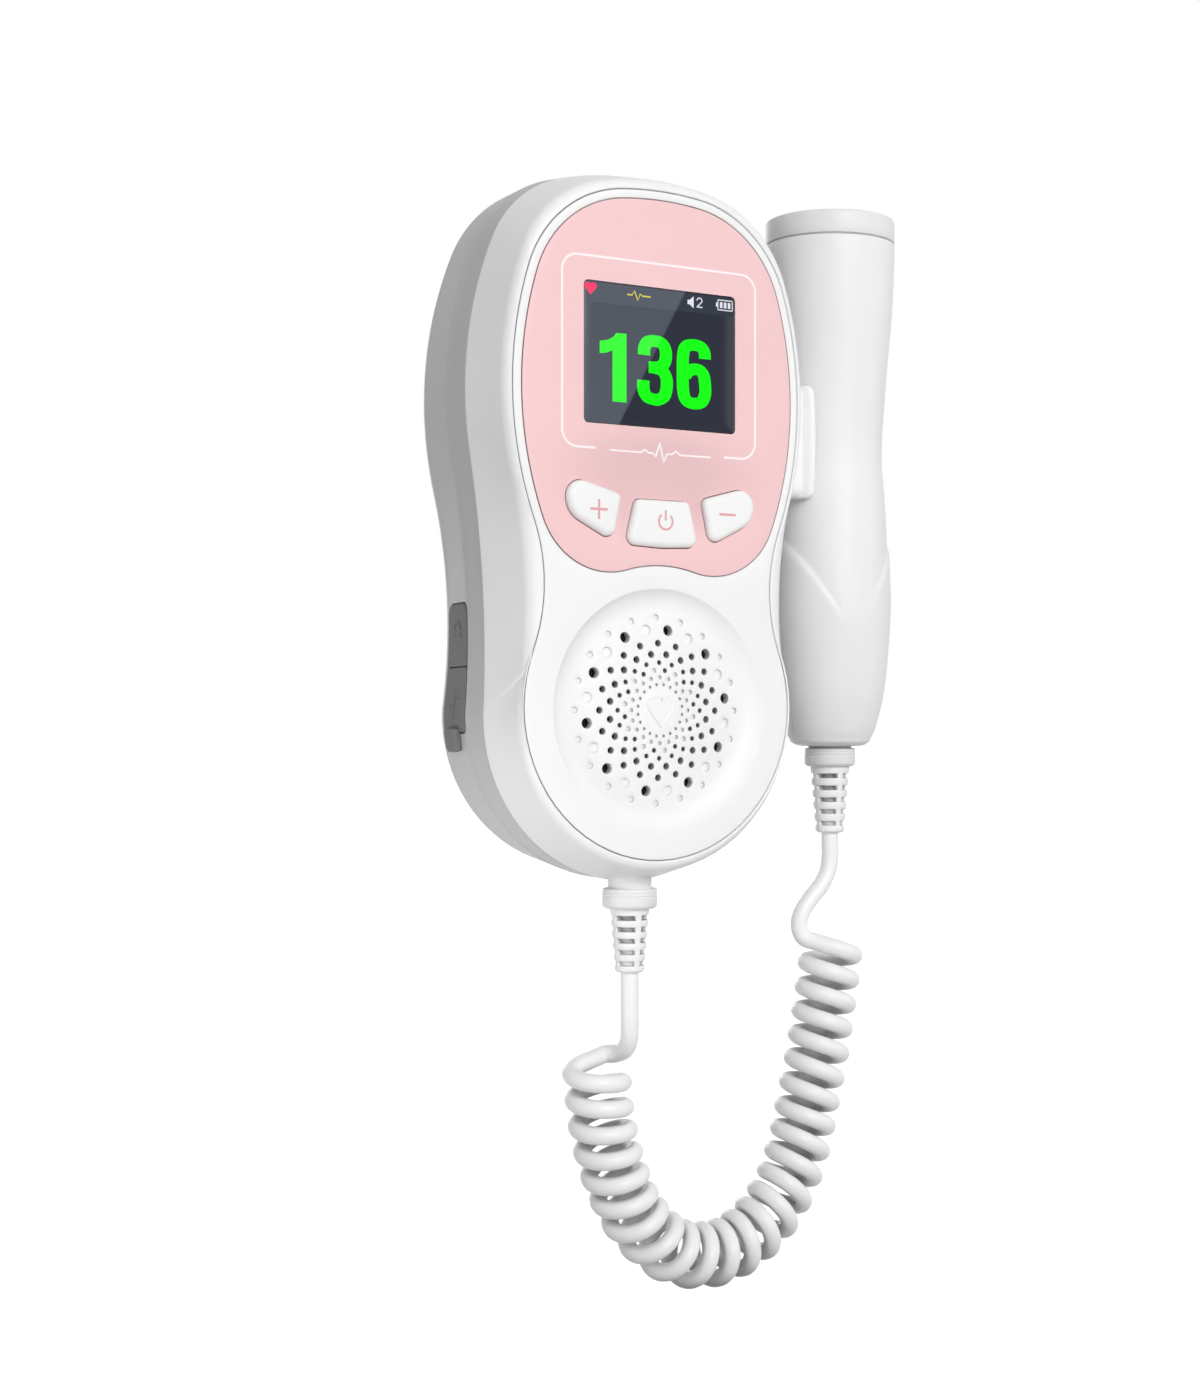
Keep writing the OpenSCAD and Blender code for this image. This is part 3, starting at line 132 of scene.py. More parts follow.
def polar(radius, degrees):
    return Vector((radius * math.cos(math.radians(degrees)), radius * math.sin(math.radians(degrees))))


# ---------------------------------------------------------------- the case's outlines

FINE = 4


def crossing(c1, r1, c2, r2, side):
    """The crossing of two circles that lies on the chosen side of the line from c1 to c2."""
    d = c2 - c1
    u = d / d.length
    a = (r1 * r1 - r2 * r2 + d.length ** 2) / (2 * d.length)
    h = math.sqrt(max(0.0, r1 * r1 - a * a))
    return c1 + a * u + side * h * Vector((-u.y, u.x))


def arc(centre, radius, a0, a1, n):
    return [centre + polar(radius, mix(a0, a1, i / n)) for i in range(n + 1)]


def half_outline(top, bottom, half_w, z_wide, low_w, z_low, radii, inset):
    """Six tangent arcs from the crown down the right side to the bottom."""
    rt, rc, rs, rw, rl = radii
    ct, cs, cl = Vector((0, top - rt)), Vector((half_w - rs, z_wide)), Vector((low_w - rl, z_low))
    cc = crossing(ct, rt - rc, cs, rs - rc, -1)
    cw = crossing(cs, rs + rw, cl, rl + rw, 1)
    h = z_low - bottom
    rb = (cl.x ** 2 + h * h - rl * rl) / (2 * (h - rl))
    cb = Vector((0, bottom + rb))
    a1, a2, a3 = angle_of(cc - ct), angle_of(cc - cs), angle_of(cw - cs)
    a4, a5 = angle_of(cs - cw), 360 + angle_of(cl - cw)
    a6, a7 = angle_of(cw - cl), angle_of(cl - cb)
    parts = (
        arc(ct, rt - inset, 90, a1, 5 * FINE), arc(cc, rc - inset, a1, a2, 8 * FINE),
        arc(cs, rs - inset, a2, a3, 7 * FINE), arc(cw, rw + inset, a4, a5, 6 * FINE),
        arc(cl, rl - inset, a6, a7, 8 * FINE), arc(cb, rb - inset, a7, -90, 5 * FINE))
    points = list(parts[0])
    for part in parts[1:]:
        points += part[1:]
    return points


def closed(half):
    """The half outline and its mirror image as one closed ring."""
    return half + [Vector((-p.x, p.y)) for p in reversed(half[1:-1])]


def seam_outline(inset=0.0):
    return closed(half_outline(
        CASE_TOP - SEAM_TOP_IN, -CASE_BOTTOM + SEAM_BOTTOM_IN, UPPER_W - SEAM_UPPER_IN, UPPER_Z,
        LOWER_W - SEAM_LOWER_IN, -LOWER_DROP + SEAM_LOBE_UP, SEAM_RADII, inset))


def part_outline(inset=0.0):
    return closed(half_outline(
        CASE_TOP, -CASE_BOTTOM, UPPER_W, UPPER_Z, LOWER_W, -LOWER_DROP, PART_RADII, inset))


def rear_outline(inset=0.0):
    return closed(half_outline(
        CASE_TOP + REAR_TOP_OUT, -CASE_BOTTOM + REAR_BOTTOM_IN, UPPER_W - REAR_UPPER_IN, UPPER_Z,
        LOWER_W - REAR_LOWER_IN, -LOWER_DROP, REAR_RADII, inset))


def mixed(a, b, t):
    return [mix(p, q, t) for p, q in zip(a, b)]


def crease_outline(inset=0.0):
    share = (CREASE_D - PARTING_D) / (CASE_DEPTH - REAR_FILLET - PARTING_D)
    return mixed(part_outline(inset - CREASE_OUT), rear_outline(inset - CREASE_OUT), share)


def side_outline(d, inset=0.0):
    """The case's side at a depth between the parting line and the rear fillet."""
    if d <= CREASE_D:
        share = (d - PARTING_D) / (CREASE_D - PARTING_D)
        return mixed(part_outline(inset), crease_outline(inset), share)
    share = (d - CREASE_D) / (CASE_DEPTH - REAR_FILLET - CREASE_D)
    return mixed(crease_outline(inset), rear_outline(inset), share)


def ring(outline, d):
    """An outline in X and Z, set at a depth."""
    return [(p.x, d - CASE_DEPTH, p.y) for p in outline]


def panel_outline(inset=0.0):
    """The panel keeps the seam's sides, swings round two lobes under the buttons and rises
    over the speaker's dish."""
    side_c = Vector((UPPER_W - SEAM_UPPER_IN - SEAM_RADII[2], UPPER_Z))
    side_in, crest_c = SEAM_RADII[2] - PANEL_IN, Vector((0, SPEAKER_Z))
    c = crossing(side_c, side_in - PANEL_LOBE_R, crest_c, CREST_R + PANEL_LOBE_R, 1)
    a0, a1, a2 = angle_of(c - side_c), angle_of(crest_c - c), angle_of(c - crest_c)
    upper = seam_outline(PANEL_IN + inset)
    half = [p for p in upper[:len(upper) // 2 + 1] if p.y > UPPER_Z + 0.2]
    half += arc(side_c, side_in - inset, 0, a0, 20)
    half += arc(c, PANEL_LOBE_R - inset, a0, a1, 56)[1:]
    half += arc(crest_c, CREST_R + inset, a2, 90, 20)[1:]
    return closed(half)


def rounded(corners, radii, inset=0.0, n=16):
    """A convex polygon with rounded corners, drawn in by inset."""
    points = [Vector(c) for c in corners]
    m = len(points)
    moved = []
    for i in range(m):
        u = (points[i - 1] - points[i]).normalized()
        v = (points[(i + 1) % m] - points[i]).normalized()
        half = math.acos(max(-1.0, min(1.0, u.dot(v)))) / 2
        moved.append(points[i] + (u + v).normalized() * inset / math.sin(half))
    out = []
    for i in range(m):
        p = moved[i]
        u = (moved[i - 1] - p).normalized()
        v = (moved[(i + 1) % m] - p).normalized()
        half = math.acos(max(-1.0, min(1.0, u.dot(v)))) / 2
        r = max(0.05, radii[i] - inset)
        c = p + (u + v).normalized() * r / math.sin(half)
        a0 = angle_of(u * r / math.tan(half) + p - c)
        a1 = angle_of(v * r / math.tan(half) + p - c)
        turn = (a1 - a0 + 540) % 360 - 180
        out += [c + polar(r, a0 + turn * k / n) for k in range(n + 1)]
    return out


def mirrored(points):
    return [Vector((-p[0], p[1])) for p in points]


def box_corners(w, h, z):
    return ((-w / 2, z + h / 2), (-w / 2, z - h / 2), (w / 2, z - h / 2), (w / 2, z + h / 2))


def circle(centre, radius, n):
    return [Vector(centre) + polar(radius, 360 * i / n) for i in range(n)]


# ---------------------------------------------------------------- mesh tools

def loft(rings, around=True, caps=(False, False)):
    """Quads between equal rings in turn, closed round each ring unless around is False."""
    n = len(rings[0])
    verts = [tuple(p) for r in rings for p in r]
    faces = []
    for i in range(len(rings) - 1):
        for j in range(n if around else n - 1):
            k = (j + 1) % n
            faces.append((i * n + j, i * n + k, (i + 1) * n + k, (i + 1) * n + j))
    if caps[0]:
        faces.append(tuple(range(n - 1, -1, -1)))
    if caps[1]:
        faces.append(tuple((len(rings) - 1) * n + j for j in range(n)))
    return verts, faces


def in_front(p, height=0.0):
    """A flat point in X and Z on the face plane, moved forwards by height."""
    return (p[0], -CASE_DEPTH - height, p[1])


def around(x, y, radius, degrees, z):
    """A point at a radius and an angle round the vertical axis through x and y."""
    p = polar(radius, degrees)
    return (x + p.x, y + p.y, z)


def lathe_up(profile, x, y, n=96):
    """Radius and height profile turned about a vertical axis."""
    return [[around(x, y, r, 360 * j / n, z) for j in range(n)] for r, z in profile]


def round_steps(steps):
    return [math.radians(90 * i / steps) for i in range(steps + 1)]


def pillow(outline, levels, place, shrink=(0.85, 0.65, 0.42, 0.2, 0.04)):
    """A raised shape: outline(inset) at each (inset, height) level, filled in towards its middle."""
    rings = [[place(p, h) for p in outline(inset)] for inset, h in levels]
    inset, height = levels[-1]
    top = outline(inset)
    centre = sum(top, Vector((0, 0))) / len(top)
    for s in shrink:
        rings.append([place(centre + (p - centre) * s, height) for p in top])
    return loft(rings, caps=(True, True))


class Loops:
    """Even-odd test against closed loops, with their edges sorted into rows by height."""

    def __init__(self, loops):
        self.rows = {}
        for loop in loops:
            for a, b in zip(loop, loop[1:] + loop[:1]):
                low, high = sorted((a[1], b[1]))
                for row in range(math.floor(low), math.floor(high) + 1):
                    self.rows.setdefault(row, []).append((a[0], a[1], b[0], b[1]))

    def inside(self, x, z):
        hit = False
        for ax, az, bx, bz in self.rows.get(math.floor(z), ()):
            if (az > z) != (bz > z) and x < ax + (z - az) * (bx - ax) / (bz - az):
                hit = not hit
        return hit


def filled(loops, spacing):
    """Triangles over the region between closed loops, with an even spread of points inside."""
    points, edges, cells = [], [], {}
    for loop in loops:
        first = len(points)
        points += [Vector((p[0], p[1])) for p in loop]
        edges += [(first + i, first + (i + 1) % len(loop)) for i in range(len(loop))]
    for p in points:
        cells.setdefault((math.floor(p.x / spacing), math.floor(p.y / spacing)), []).append(p)
    test = Loops(loops)
    lows = [min(p[k] for p in points) for k in (0, 1)]
    highs = [max(p[k] for p in points) for k in (0, 1)]
    rows = int((highs[1] - lows[1]) / (spacing * 0.87)) + 1
    for r in range(rows):
        z = lows[1] + (r + 0.5) * spacing * 0.87
        for c in range(int((highs[0] - lows[0]) / spacing) + 2):
            p = Vector((lows[0] + (c + 0.5 * (r % 2)) * spacing, z))
            if not test.inside(p.x, p.y):
                continue
            i, j = math.floor(p.x / spacing), math.floor(p.y / spacing)
            near = [q for a in (-1, 0, 1) for b in (-1, 0, 1) for q in cells.get((i + a, j + b), ())]
            if all((p - q).length > 0.5 * spacing for q in near):
                points.append(p)
    verts, _, faces, *_ = delaunay_2d_cdt(points, edges, [], 0, 1e-6)
    kept = []
    for f in faces:
        x = sum(verts[i].x for i in f) / 3
        z = sum(verts[i].y for i in f) / 3
        if test.inside(x, z):
            kept.append(tuple(f))
    return verts, kept


def make_object(name, parts, sharp=32, weld=2e-6):
    """One mesh object, in metres, from parts of (vertices in mm, faces) or (vertices, faces, slot)."""
    verts, faces, slots = [], [], []
    for part in parts:
        first = len(verts)
        verts += [tuple(c * MM for c in v) for v in part[0]]
        faces += [tuple(first + i for i in f) for f in part[1]]
        slots += [part[2] if len(part) > 2 else 0] * len(part[1])
    mesh = bpy.data.meshes.new(name)
    mesh.from_pydata(verts, [], faces)
    mesh.polygons.foreach_set("material_index", slots)
    tidy_mesh(mesh, sharp, weld)
    obj = bpy.data.objects.new(name, mesh)
    bpy.context.scene.collection.objects.link(obj)
    return obj


def tidy_mesh(mesh, sharp, weld=2e-6):
    """Welded, with its faces turned outwards, and smooth up to the sharp angle."""
    bm = bmesh.new()
    bm.from_mesh(mesh)
    bmesh.ops.remove_doubles(bm, verts=bm.verts, dist=weld)
    bmesh.ops.dissolve_degenerate(bm, edges=bm.edges, dist=weld / 2)
    bmesh.ops.recalc_face_normals(bm, faces=bm.faces)
    bm.to_mesh(mesh)
    bm.free()
    mesh.shade_smooth()
    mesh.set_sharp_from_angle(angle=math.radians(sharp))


def cut(obj, cutters, sharp=32):
    """Cuts closed cutter objects out of a closed object, then removes them."""
    for cutter in cutters:
        mod = obj.modifiers.new("cut", "BOOLEAN")
        mod.operation, mod.solver, mod.object = "DIFFERENCE", "EXACT", cutter
    bpy.context.view_layer.update()
    mesh = bpy.data.meshes.new_from_object(obj.evaluated_get(bpy.context.evaluated_depsgraph_get()))
    obj.modifiers.clear()
    obj.data = mesh
    for cutter in cutters:
        bpy.data.objects.remove(cutter)
    mesh.shade_smooth()
    mesh.set_sharp_from_angle(angle=math.radians(sharp))


def dress(obj, body, materials, nodes=()):
    """Gives a piece its materials, the body it rides on and the nodes it stands for."""
    for material in materials if isinstance(materials, (list, tuple)) else [materials]:
        obj.data.materials.append(material)
    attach(obj, body)
    if nodes:
        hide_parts(*nodes)
    return obj


# ---------------------------------------------------------------- materials

def rgb(r, g, b):
    """A colour as seen on a screen, 0 to 255, as the shader's own linear values."""
    out = []
    for c in (r, g, b):
        c /= 255
        out.append(c / 12.92 if c <= 0.04045 else ((c + 0.055) / 1.055) ** 2.4)
    return (*out, 1.0)


def shaded(colour, factor):
    return (colour[0] * factor, colour[1] * factor, colour[2] * factor, 1.0)


class Shader:
    """A Principled material whose colour, roughness and relief come from nodes."""

    def __init__(self, name):
        self.material = bpy.data.materials.new(name)
        self.material.use_nodes = True
        self.tree = self.material.node_tree
        self.out = self.tree.nodes["Principled BSDF"]
        self.coords = self.add("ShaderNodeTexCoord").outputs["Object"]

    def add(self, kind, **values):
        node = self.tree.nodes.new(kind)
        for key, value in values.items():
            setattr(node, key, value)
        return node

    def join(self, source, target):
        self.tree.links.new(source, target)

    def noise(self, scale, detail=2.0):
        node = self.add("ShaderNodeTexNoise")
        self.join(self.coords, node.inputs["Vector"])
        node.inputs["Scale"].default_value = scale
        node.inputs["Detail"].default_value = detail
        return node.outputs["Fac"]

    def blend(self, factor, a, b):
        """A colour that goes from a to b with factor; either may be a socket."""
        node = self.add("ShaderNodeMix", data_type="RGBA")
        self.join(factor, node.inputs["Factor"])
        for socket, value in ((node.inputs[6], a), (node.inputs[7], b)):
            if isinstance(value, bpy.types.NodeSocket):
                self.join(value, socket)
            else:
                socket.default_value = value
        return node.outputs[2]

    def spread(self, source, low, high, a, b):
        """A number in low to high mapped to a to b."""
        node = self.add("ShaderNodeMapRange")
        self.join(source, node.inputs["Value"])
        for key, value in (("From Min", low), ("From Max", high), ("To Min", a), ("To Max", b)):
            node.inputs[key].default_value = value
        return node.outputs["Result"]

    def colour(self, socket):
        self.join(socket, self.out.inputs["Base Color"])

    def painted_crevice_shade(self, colour, reach, depth):
        """The colour with painted shade: darker by depth where ambient occlusion finds the surface
        hidden in a hole, slot or fold.
        """
        node = self.add("ShaderNodeAmbientOcclusion", samples=12)
        node.inputs["Distance"].default_value = reach
        tint = self.add("ShaderNodeMix", data_type="RGBA", blend_type="MULTIPLY")
        tint.inputs["Factor"].default_value = 1.0
        self.join(colour, tint.inputs[6])
        shade = self.spread(node.outputs["AO"], 0.12, 0.62, 1 - depth, 1.0)
        self.join(shade, tint.inputs[7])
        return tint.outputs[2]

    def rough(self, source, a, b):
        self.join(self.spread(source, 0.3, 0.7, a, b), self.out.inputs["Roughness"])

    def relief(self, source, distance, strength=0.4):
        node = self.add("ShaderNodeBump")
        node.inputs["Strength"].default_value = strength
        node.inputs["Distance"].default_value = distance
        self.join(source, node.inputs["Height"])
        self.join(node.outputs["Normal"], self.out.inputs["Normal"])

    def set(self, **values):
        for key, value in values.items():
            self.out.inputs[key.replace("_", " ")].default_value = value
        return self


def plastic(name, colour, roughness, drift=0.025, grain=2600, relief=0.00002, crevice_shade=None,
            **values):
    """Moulded plastic: a slow drift of colour and a fine grain in its gloss and relief, and painted
    shade in its hollows when a crevice reach and depth are given.
    """
    s = Shader(name)
    slow = s.spread(s.noise(28, 2), 0.35, 0.65, 0, 1)
    base = s.blend(slow, shaded(colour, 1 - drift), shaded(colour, 1 + drift / 3))
    s.colour(s.painted_crevice_shade(base, *crevice_shade) if crevice_shade else base)
    fine = s.noise(grain, 3)
    s.rough(fine, roughness - 0.04, roughness + 0.05)
    s.relief(fine, relief)
    s.set(**values)
    return s.material


def metal(name, colour, roughness):
    """Machined metal with fine streaks across it."""
    s = Shader(name)
    stretch = s.add("ShaderNodeMapping")
    stretch.inputs["Scale"].default_value = (400, 400, 6000)
    s.join(s.coords, stretch.inputs["Vector"])
    streaks = s.add("ShaderNodeTexNoise")
    s.join(stretch.outputs["Vector"], streaks.inputs["Vector"])
    streaks.inputs["Scale"].default_value = 1.0
    s.colour(s.blend(streaks.outputs["Fac"], shaded(colour, 0.85), colour))
    s.rough(streaks.outputs["Fac"], roughness - 0.05, roughness + 0.08)
    s.relief(streaks.outputs["Fac"], 0.00001)
    s.set(Metallic=1.0)
    return s.material


def cloth(name, colour):
    """Open-weave cloth in two sets of threads."""
    s = Shader(name)
    waves = []
    for direction in ("X", "Z"):
        wave = s.add("ShaderNodeTexWave", bands_direction=direction)
        s.join(s.coords, wave.inputs["Vector"])
        wave.inputs["Scale"].default_value = 900
        waves.append(wave.outputs["Fac"])
    both = s.add("ShaderNodeMath", operation="MULTIPLY")
    s.join(waves[0], both.inputs[0])
    s.join(waves[1], both.inputs[1])
    s.colour(s.blend(both.outputs[0], shaded(colour, 0.4), colour))
    s.rough(both.outputs[0], 0.8, 0.95)
    s.relief(both.outputs[0], 0.0001)
    return s.material


def board(name, colour):
    """Solder mask over faint tracks."""
    s = Shader(name)
    cells = s.add("ShaderNodeTexVoronoi", distance="MANHATTAN")
    s.join(s.coords, cells.inputs["Vector"])
    cells.inputs["Scale"].default_value = 320
    s.colour(s.blend(cells.outputs["Distance"], colour, shaded(colour, 1.6)))
    s.rough(s.noise(900), 0.25, 0.4)
    s.relief(cells.outputs["Distance"], 0.00004)
    return s.material


def along(s, axis, low, high):
    """0 to 1 along an object axis, between two places in metres."""
    node = s.add("ShaderNodeSeparateXYZ")
    s.join(s.coords, node.inputs["Vector"])
    return s.spread(node.outputs[axis], low, high, 0, 1)


def panel_film(name, colour):
    """Printed film with painted shade: its colour darkens softly in the hollow above and around the
    buttons.
    """
    s = Shader(name)
    where = s.add("ShaderNodeMapping")
    where.inputs["Location"].default_value = (0.0, 0.0, -0.0095)
    s.join(s.coords, where.inputs["Vector"])
    wide = s.add("ShaderNodeVectorMath", operation="MULTIPLY")
    wide.inputs[1].default_value = (1 / 0.026, 0.0, 1 / 0.0125)
    s.join(where.outputs["Vector"], wide.inputs[0])
    far = s.add("ShaderNodeVectorMath", operation="LENGTH")
    s.join(wide.outputs["Vector"], far.inputs[0])
    painted_shade_zone = s.add("ShaderNodeMapRange", interpolation_type="SMOOTHSTEP")
    s.join(far.outputs["Value"], painted_shade_zone.inputs["Value"])
    for key, value in (("From Min", 0.35), ("From Max", 1.15), ("To Min", 0.0), ("To Max", 1.0)):
        painted_shade_zone.inputs[key].default_value = value
    # deep is painted shade, the film's colour darkened in the hollow round the buttons.
    deep = shaded(colour, 0.86)
    drift = s.blend(s.spread(s.noise(40, 2), 0.3, 0.7, 0, 1), shaded(colour, 0.985), colour)
    s.colour(s.blend(painted_shade_zone.outputs["Result"], deep, drift))
    fine = s.noise(3000, 2)
    s.rough(fine, 0.42, 0.5)
    s.relief(fine, 0.00001)
    s.set(Specular_IOR_Level=0.35)
    return s.material


# The edge of a painted reflection, the window's slanting sheen: a line from the top right to the lower
# left of the screen
PAINTED_SHEEN_FOOT, PAINTED_SHEEN_TOP = Vector((-9.6, 20.2)), Vector((5.6, 47.6))


def painted_sheen_side(s, softness=0.25):
    """0 to the left of the painted sheen's edge and 1 to its right, in object space."""
    u = (PAINTED_SHEEN_TOP - PAINTED_SHEEN_FOOT).normalized()
    node = s.add("ShaderNodeVectorMath", operation="DOT_PRODUCT")
    s.join(s.coords, node.inputs[0])
    node.inputs[1].default_value = (u.y, 0.0, -u.x)
    edge = PAINTED_SHEEN_FOOT.x * u.y - PAINTED_SHEEN_FOOT.y * u.x
    return s.spread(node.outputs["Value"], (edge - softness) * MM, (edge + softness) * MM, 0, 1)


def display(name, left, right):
    s = Shader(name)
    faint = s.spread(s.noise(60, 2), 0.3, 0.7, 0, 1)
    # Left of the sheen's edge the glass is paler, a painted reflection that is brightest towards the
    # bottom.
    fade = along(s, "Z", 0.020, 0.048)
    left_side = s.blend(fade, shaded(left, 1.12), shaded(left, 0.92))
    s.colour(s.blend(painted_sheen_side(s), left_side, s.blend(faint, shaded(right, 0.94), right)))
    fine = s.noise(4000, 1)
    s.rough(fine, 0.16, 0.22)
    s.relief(fine, 0.000003)
    s.set(Specular_IOR_Level=0.25)
    return s.material


def lit(name, left, right, strength=1.0):
    """A mark on the display that gives its own light, paler under the painted sheen."""
    s = Shader(name)
    s.join(s.blend(painted_sheen_side(s), left, right), s.out.inputs["Emission Color"])
    s.colour(s.blend(s.noise(300, 1), shaded(right, 0.02), shaded(right, 0.05)))
    s.set(Emission_Strength=strength, Roughness=0.4, Specular_IOR_Level=0.1)
    return s.material


WHITE = rgb(246, 246, 246)
MATERIALS = {
    "case_white": plastic("case_white", WHITE, 0.42, Specular_IOR_Level=0.35),
    # case_rear is the front's white plastic painted grey: painted shade on the case's rear half.
    "case_rear": plastic("case_rear", rgb(198, 198, 198), 0.46, Specular_IOR_Level=0.3),
    # plate_white paints shade into the grille's holes, the dimples and the folds round the heart.
    "plate_white": plastic("plate_white", rgb(247, 247, 247), 0.48, crevice_shade=(0.0022, 0.72),
                           Specular_IOR_Level=0.3),
    "panel_pink": panel_film("panel_pink", rgb(246, 205, 207)),
    # panel_edge is a darker pink that paints the shade in the fine gaps round the film and the buttons.
    "panel_edge": plastic("panel_edge", rgb(160, 124, 122), 0.6),
    "print_white": plastic("print_white", rgb(254, 244, 244), 0.5),
    "icon_pink": plastic("icon_pink", rgb(228, 166, 171), 0.5),
    # window_dark's paler colour is a painted reflection, the glass's slanting sheen.
    "window_dark": display("window_dark", rgb(74, 80, 91), rgb(24, 31, 48)),
    "display_dark": plastic("display_dark", rgb(40, 44, 52), 0.2),
    "bracket_grey": plastic("bracket_grey", rgb(148, 148, 152), 0.5),
    "board_green": board("board_green", rgb(38, 108, 66)),
    "battery_blue": plastic("battery_blue", rgb(80, 112, 170), 0.25),
    "screw_steel": metal("screw_steel", rgb(190, 191, 194), 0.3),
    "switch_steel": metal("switch_steel", rgb(200, 200, 198), 0.25),
    "mat_grey": plastic("mat_grey", rgb(190, 190, 188), 0.7),
    "button_white": plastic("button_white", rgb(247, 248, 247), 0.42, Specular_IOR_Level=0.3),
    "cloth_black": cloth("cloth_black", rgb(42, 42, 42)),
    "speaker_dark": plastic("speaker_dark", rgb(60, 60, 62), 0.5),
    "cone_black": plastic("cone_black", rgb(34, 34, 34), 0.8, relief=0.0001),
    "magnet_steel": metal("magnet_steel", rgb(178, 178, 182), 0.3),
    "socket_black": plastic("socket_black", rgb(40, 40, 40), 0.5),
    "flap_rubber": plastic("flap_rubber", rgb(126, 126, 126), 0.72, drift=0.04, relief=0.00004,
                           Specular_IOR_Level=0.25),
    # cord_white paints shade on the inner sides of the cord's turns.
    "cord_white": plastic("cord_white", rgb(249, 249, 249), 0.36, drift=0.015, crevice_shade=(0.009, 0.62),
                          Specular_IOR_Level=0.45),
    # relief_white paints shade into the sleeve's slots.
    "relief_white": plastic("relief_white", rgb(246, 246, 246), 0.5, crevice_shade=(0.0035, 0.6),
                            Specular_IOR_Level=0.3),
    "probe_white": plastic("probe_white", rgb(241, 241, 241), 0.42, Specular_IOR_Level=0.3),
    "cap_white": plastic("cap_white", rgb(235, 235, 235), 0.42, Specular_IOR_Level=0.3),
    "gasket_grey": plastic("gasket_grey", rgb(196, 196, 196), 0.7),
    "probe_face_grey": plastic("probe_face_grey", rgb(228, 228, 226), 0.35),
    "crystal_tan": plastic("crystal_tan", rgb(205, 190, 140), 0.3),
    "backing_dark": plastic("backing_dark", rgb(84, 80, 74), 0.8),
    # The display's marks are paler where the painted sheen crosses them.
    "lcd_green": lit("lcd_green", rgb(58, 255, 58), rgb(0, 255, 0)),
    "lcd_red": lit("lcd_red", rgb(255, 64, 112), rgb(255, 64, 112)),
    "lcd_white": lit("lcd_white", rgb(236, 238, 242), rgb(226, 229, 236)),
    "lcd_amber": lit("lcd_amber", rgb(216, 206, 84), rgb(216, 206, 84)),
    "lcd_bar": lit("lcd_bar", rgb(84, 91, 102), rgb(45, 52, 66)),
}

# ---------------------------------------------------------------- camera and cord

CAMERA_PLACE, CAMERA_TURN = (-0.22346, -0.40868, -0.040), -31.0814
CAMERA_LENS, CAMERA_SHIFT = 56.08, (-0.04398, 0.0243)


def add_camera():
    data = bpy.data.cameras.new("camera")
    data.sensor_width = 36.0
    data.lens = CAMERA_LENS
    data.shift_x, data.shift_y = CAMERA_SHIFT
    data.clip_start, data.clip_end = 0.01, 60.0
    camera = bpy.data.objects.new("camera", data)
    camera.location = CAMERA_PLACE
    camera.rotation_euler = (math.radians(90), 0.0, math.radians(CAMERA_TURN))
    bpy.context.scene.collection.objects.link(camera)
    bpy.context.scene.camera = camera


# The curly cord's axis, every second curl, and the two free leads, as in the part's source
CURL_AXIS = [Vector(p) for p in (
    (-7.6, -24.1, -101.8), (-6.8, -24.0, -112.1), (-5.3, -23.9, -122.5), (-2.1, -23.6, -132.5),
    (3.1, -23.2, -141.8), (12.3, -22.4, -149.6), (23.8, -21.5, -151.6), (34.3, -20.7, -147.8),
    (41.9, -20.1, -140.1), (46.3, -19.8, -130.5), (49.0, -19.5, -120.5), (51.6, -19.3, -110.1),
    (53.6, -19.1, -99.6), (55.3, -19.0, -89.0), (56.8, -18.9, -78.6))]
CURL_START, CURL_END = -0.5, CURL_COUNT + 0.12
LEAD_MAIN = [Vector(p) for p in (
    (0, -25.5, -90.2), (0, -25.5, -94), (0, -25.5, -98), (0.1, -25.4, -101.4),
    (0.4, -24.5, -104.4), (0.5, -22.6, -106.6), (-0.2, -20.4, -107.6), (-1.5, -18.9, -107.8))]
LEAD_PROBE = [Vector(p) for p in (
    (47.5, -19.2, -85.7), (46.9, -18.8, -83.6), (47.4, -18.8, -81.0), (49.6, -18.9, -77.9),
    (52.5, -19.0, -74.9), (54.4, -19.0, -71.8), (55, -19, -68.4), (55, -19, -65.6), (55, -19, -63.2))]


def curve_point(p, i, t):
    n = len(p) - 1
    a, b, c, e = p[max(0, i - 1)], p[i], p[min(n, i + 1)], p[min(n, i + 2)]
    return 0.5 * (2 * b + (c - a) * t + (2 * a - 5 * b + 4 * c - e) * t * t
                  + (3 * b - a - 3 * c + e) * t * t * t)


def curve(points, steps):
    """A smooth curve through a list, with steps places between each two."""
    return [curve_point(points, i, k / steps) for i in range(len(points) - 1) for k in range(steps)] \
        + [points[-1]]


def curl_centre(k):
    s = 1 + k * (len(CURL_AXIS) - 3) / CURL_COUNT
    i = min(len(CURL_AXIS) - 2, max(0, math.floor(s)))
    return curve_point(CURL_AXIS, i, s - i)


def curl_point(k):
    """The cord winds left-handed: front to right to back on the way down."""
    t = (curl_centre(k + 0.05) - curl_centre(k - 0.05)).normalized()
    front = (Vector((0, -1, 0)) - t * (-t.y)).normalized()
    a = math.radians(360 * k)
    return curl_centre(k) + CURL_R * (math.cos(a) * front + math.sin(a) * front.cross(t))


def cord_route(per_curl=40, per_point=8):
    first, last = curl_point(CURL_START), curl_point(CURL_END)
    into = (curl_point(CURL_START + 0.02) - first).normalized()
    out = (last - curl_point(CURL_END - 0.02)).normalized()
    steps = round((CURL_END - CURL_START) * per_curl)
    helix = [curl_point(mix(CURL_START, CURL_END, i / steps)) for i in range(steps + 1)]
    start, end = first - CORD_D * into, last + CORD_D * out
    lead_in = curve(LEAD_MAIN + [start - into, start, start + CORD_D * 0.5 * into], per_point)
    lead_out = curve([end - CORD_D * 0.5 * out, end, end + out] + LEAD_PROBE, per_point)
    return lead_in + helix + lead_out


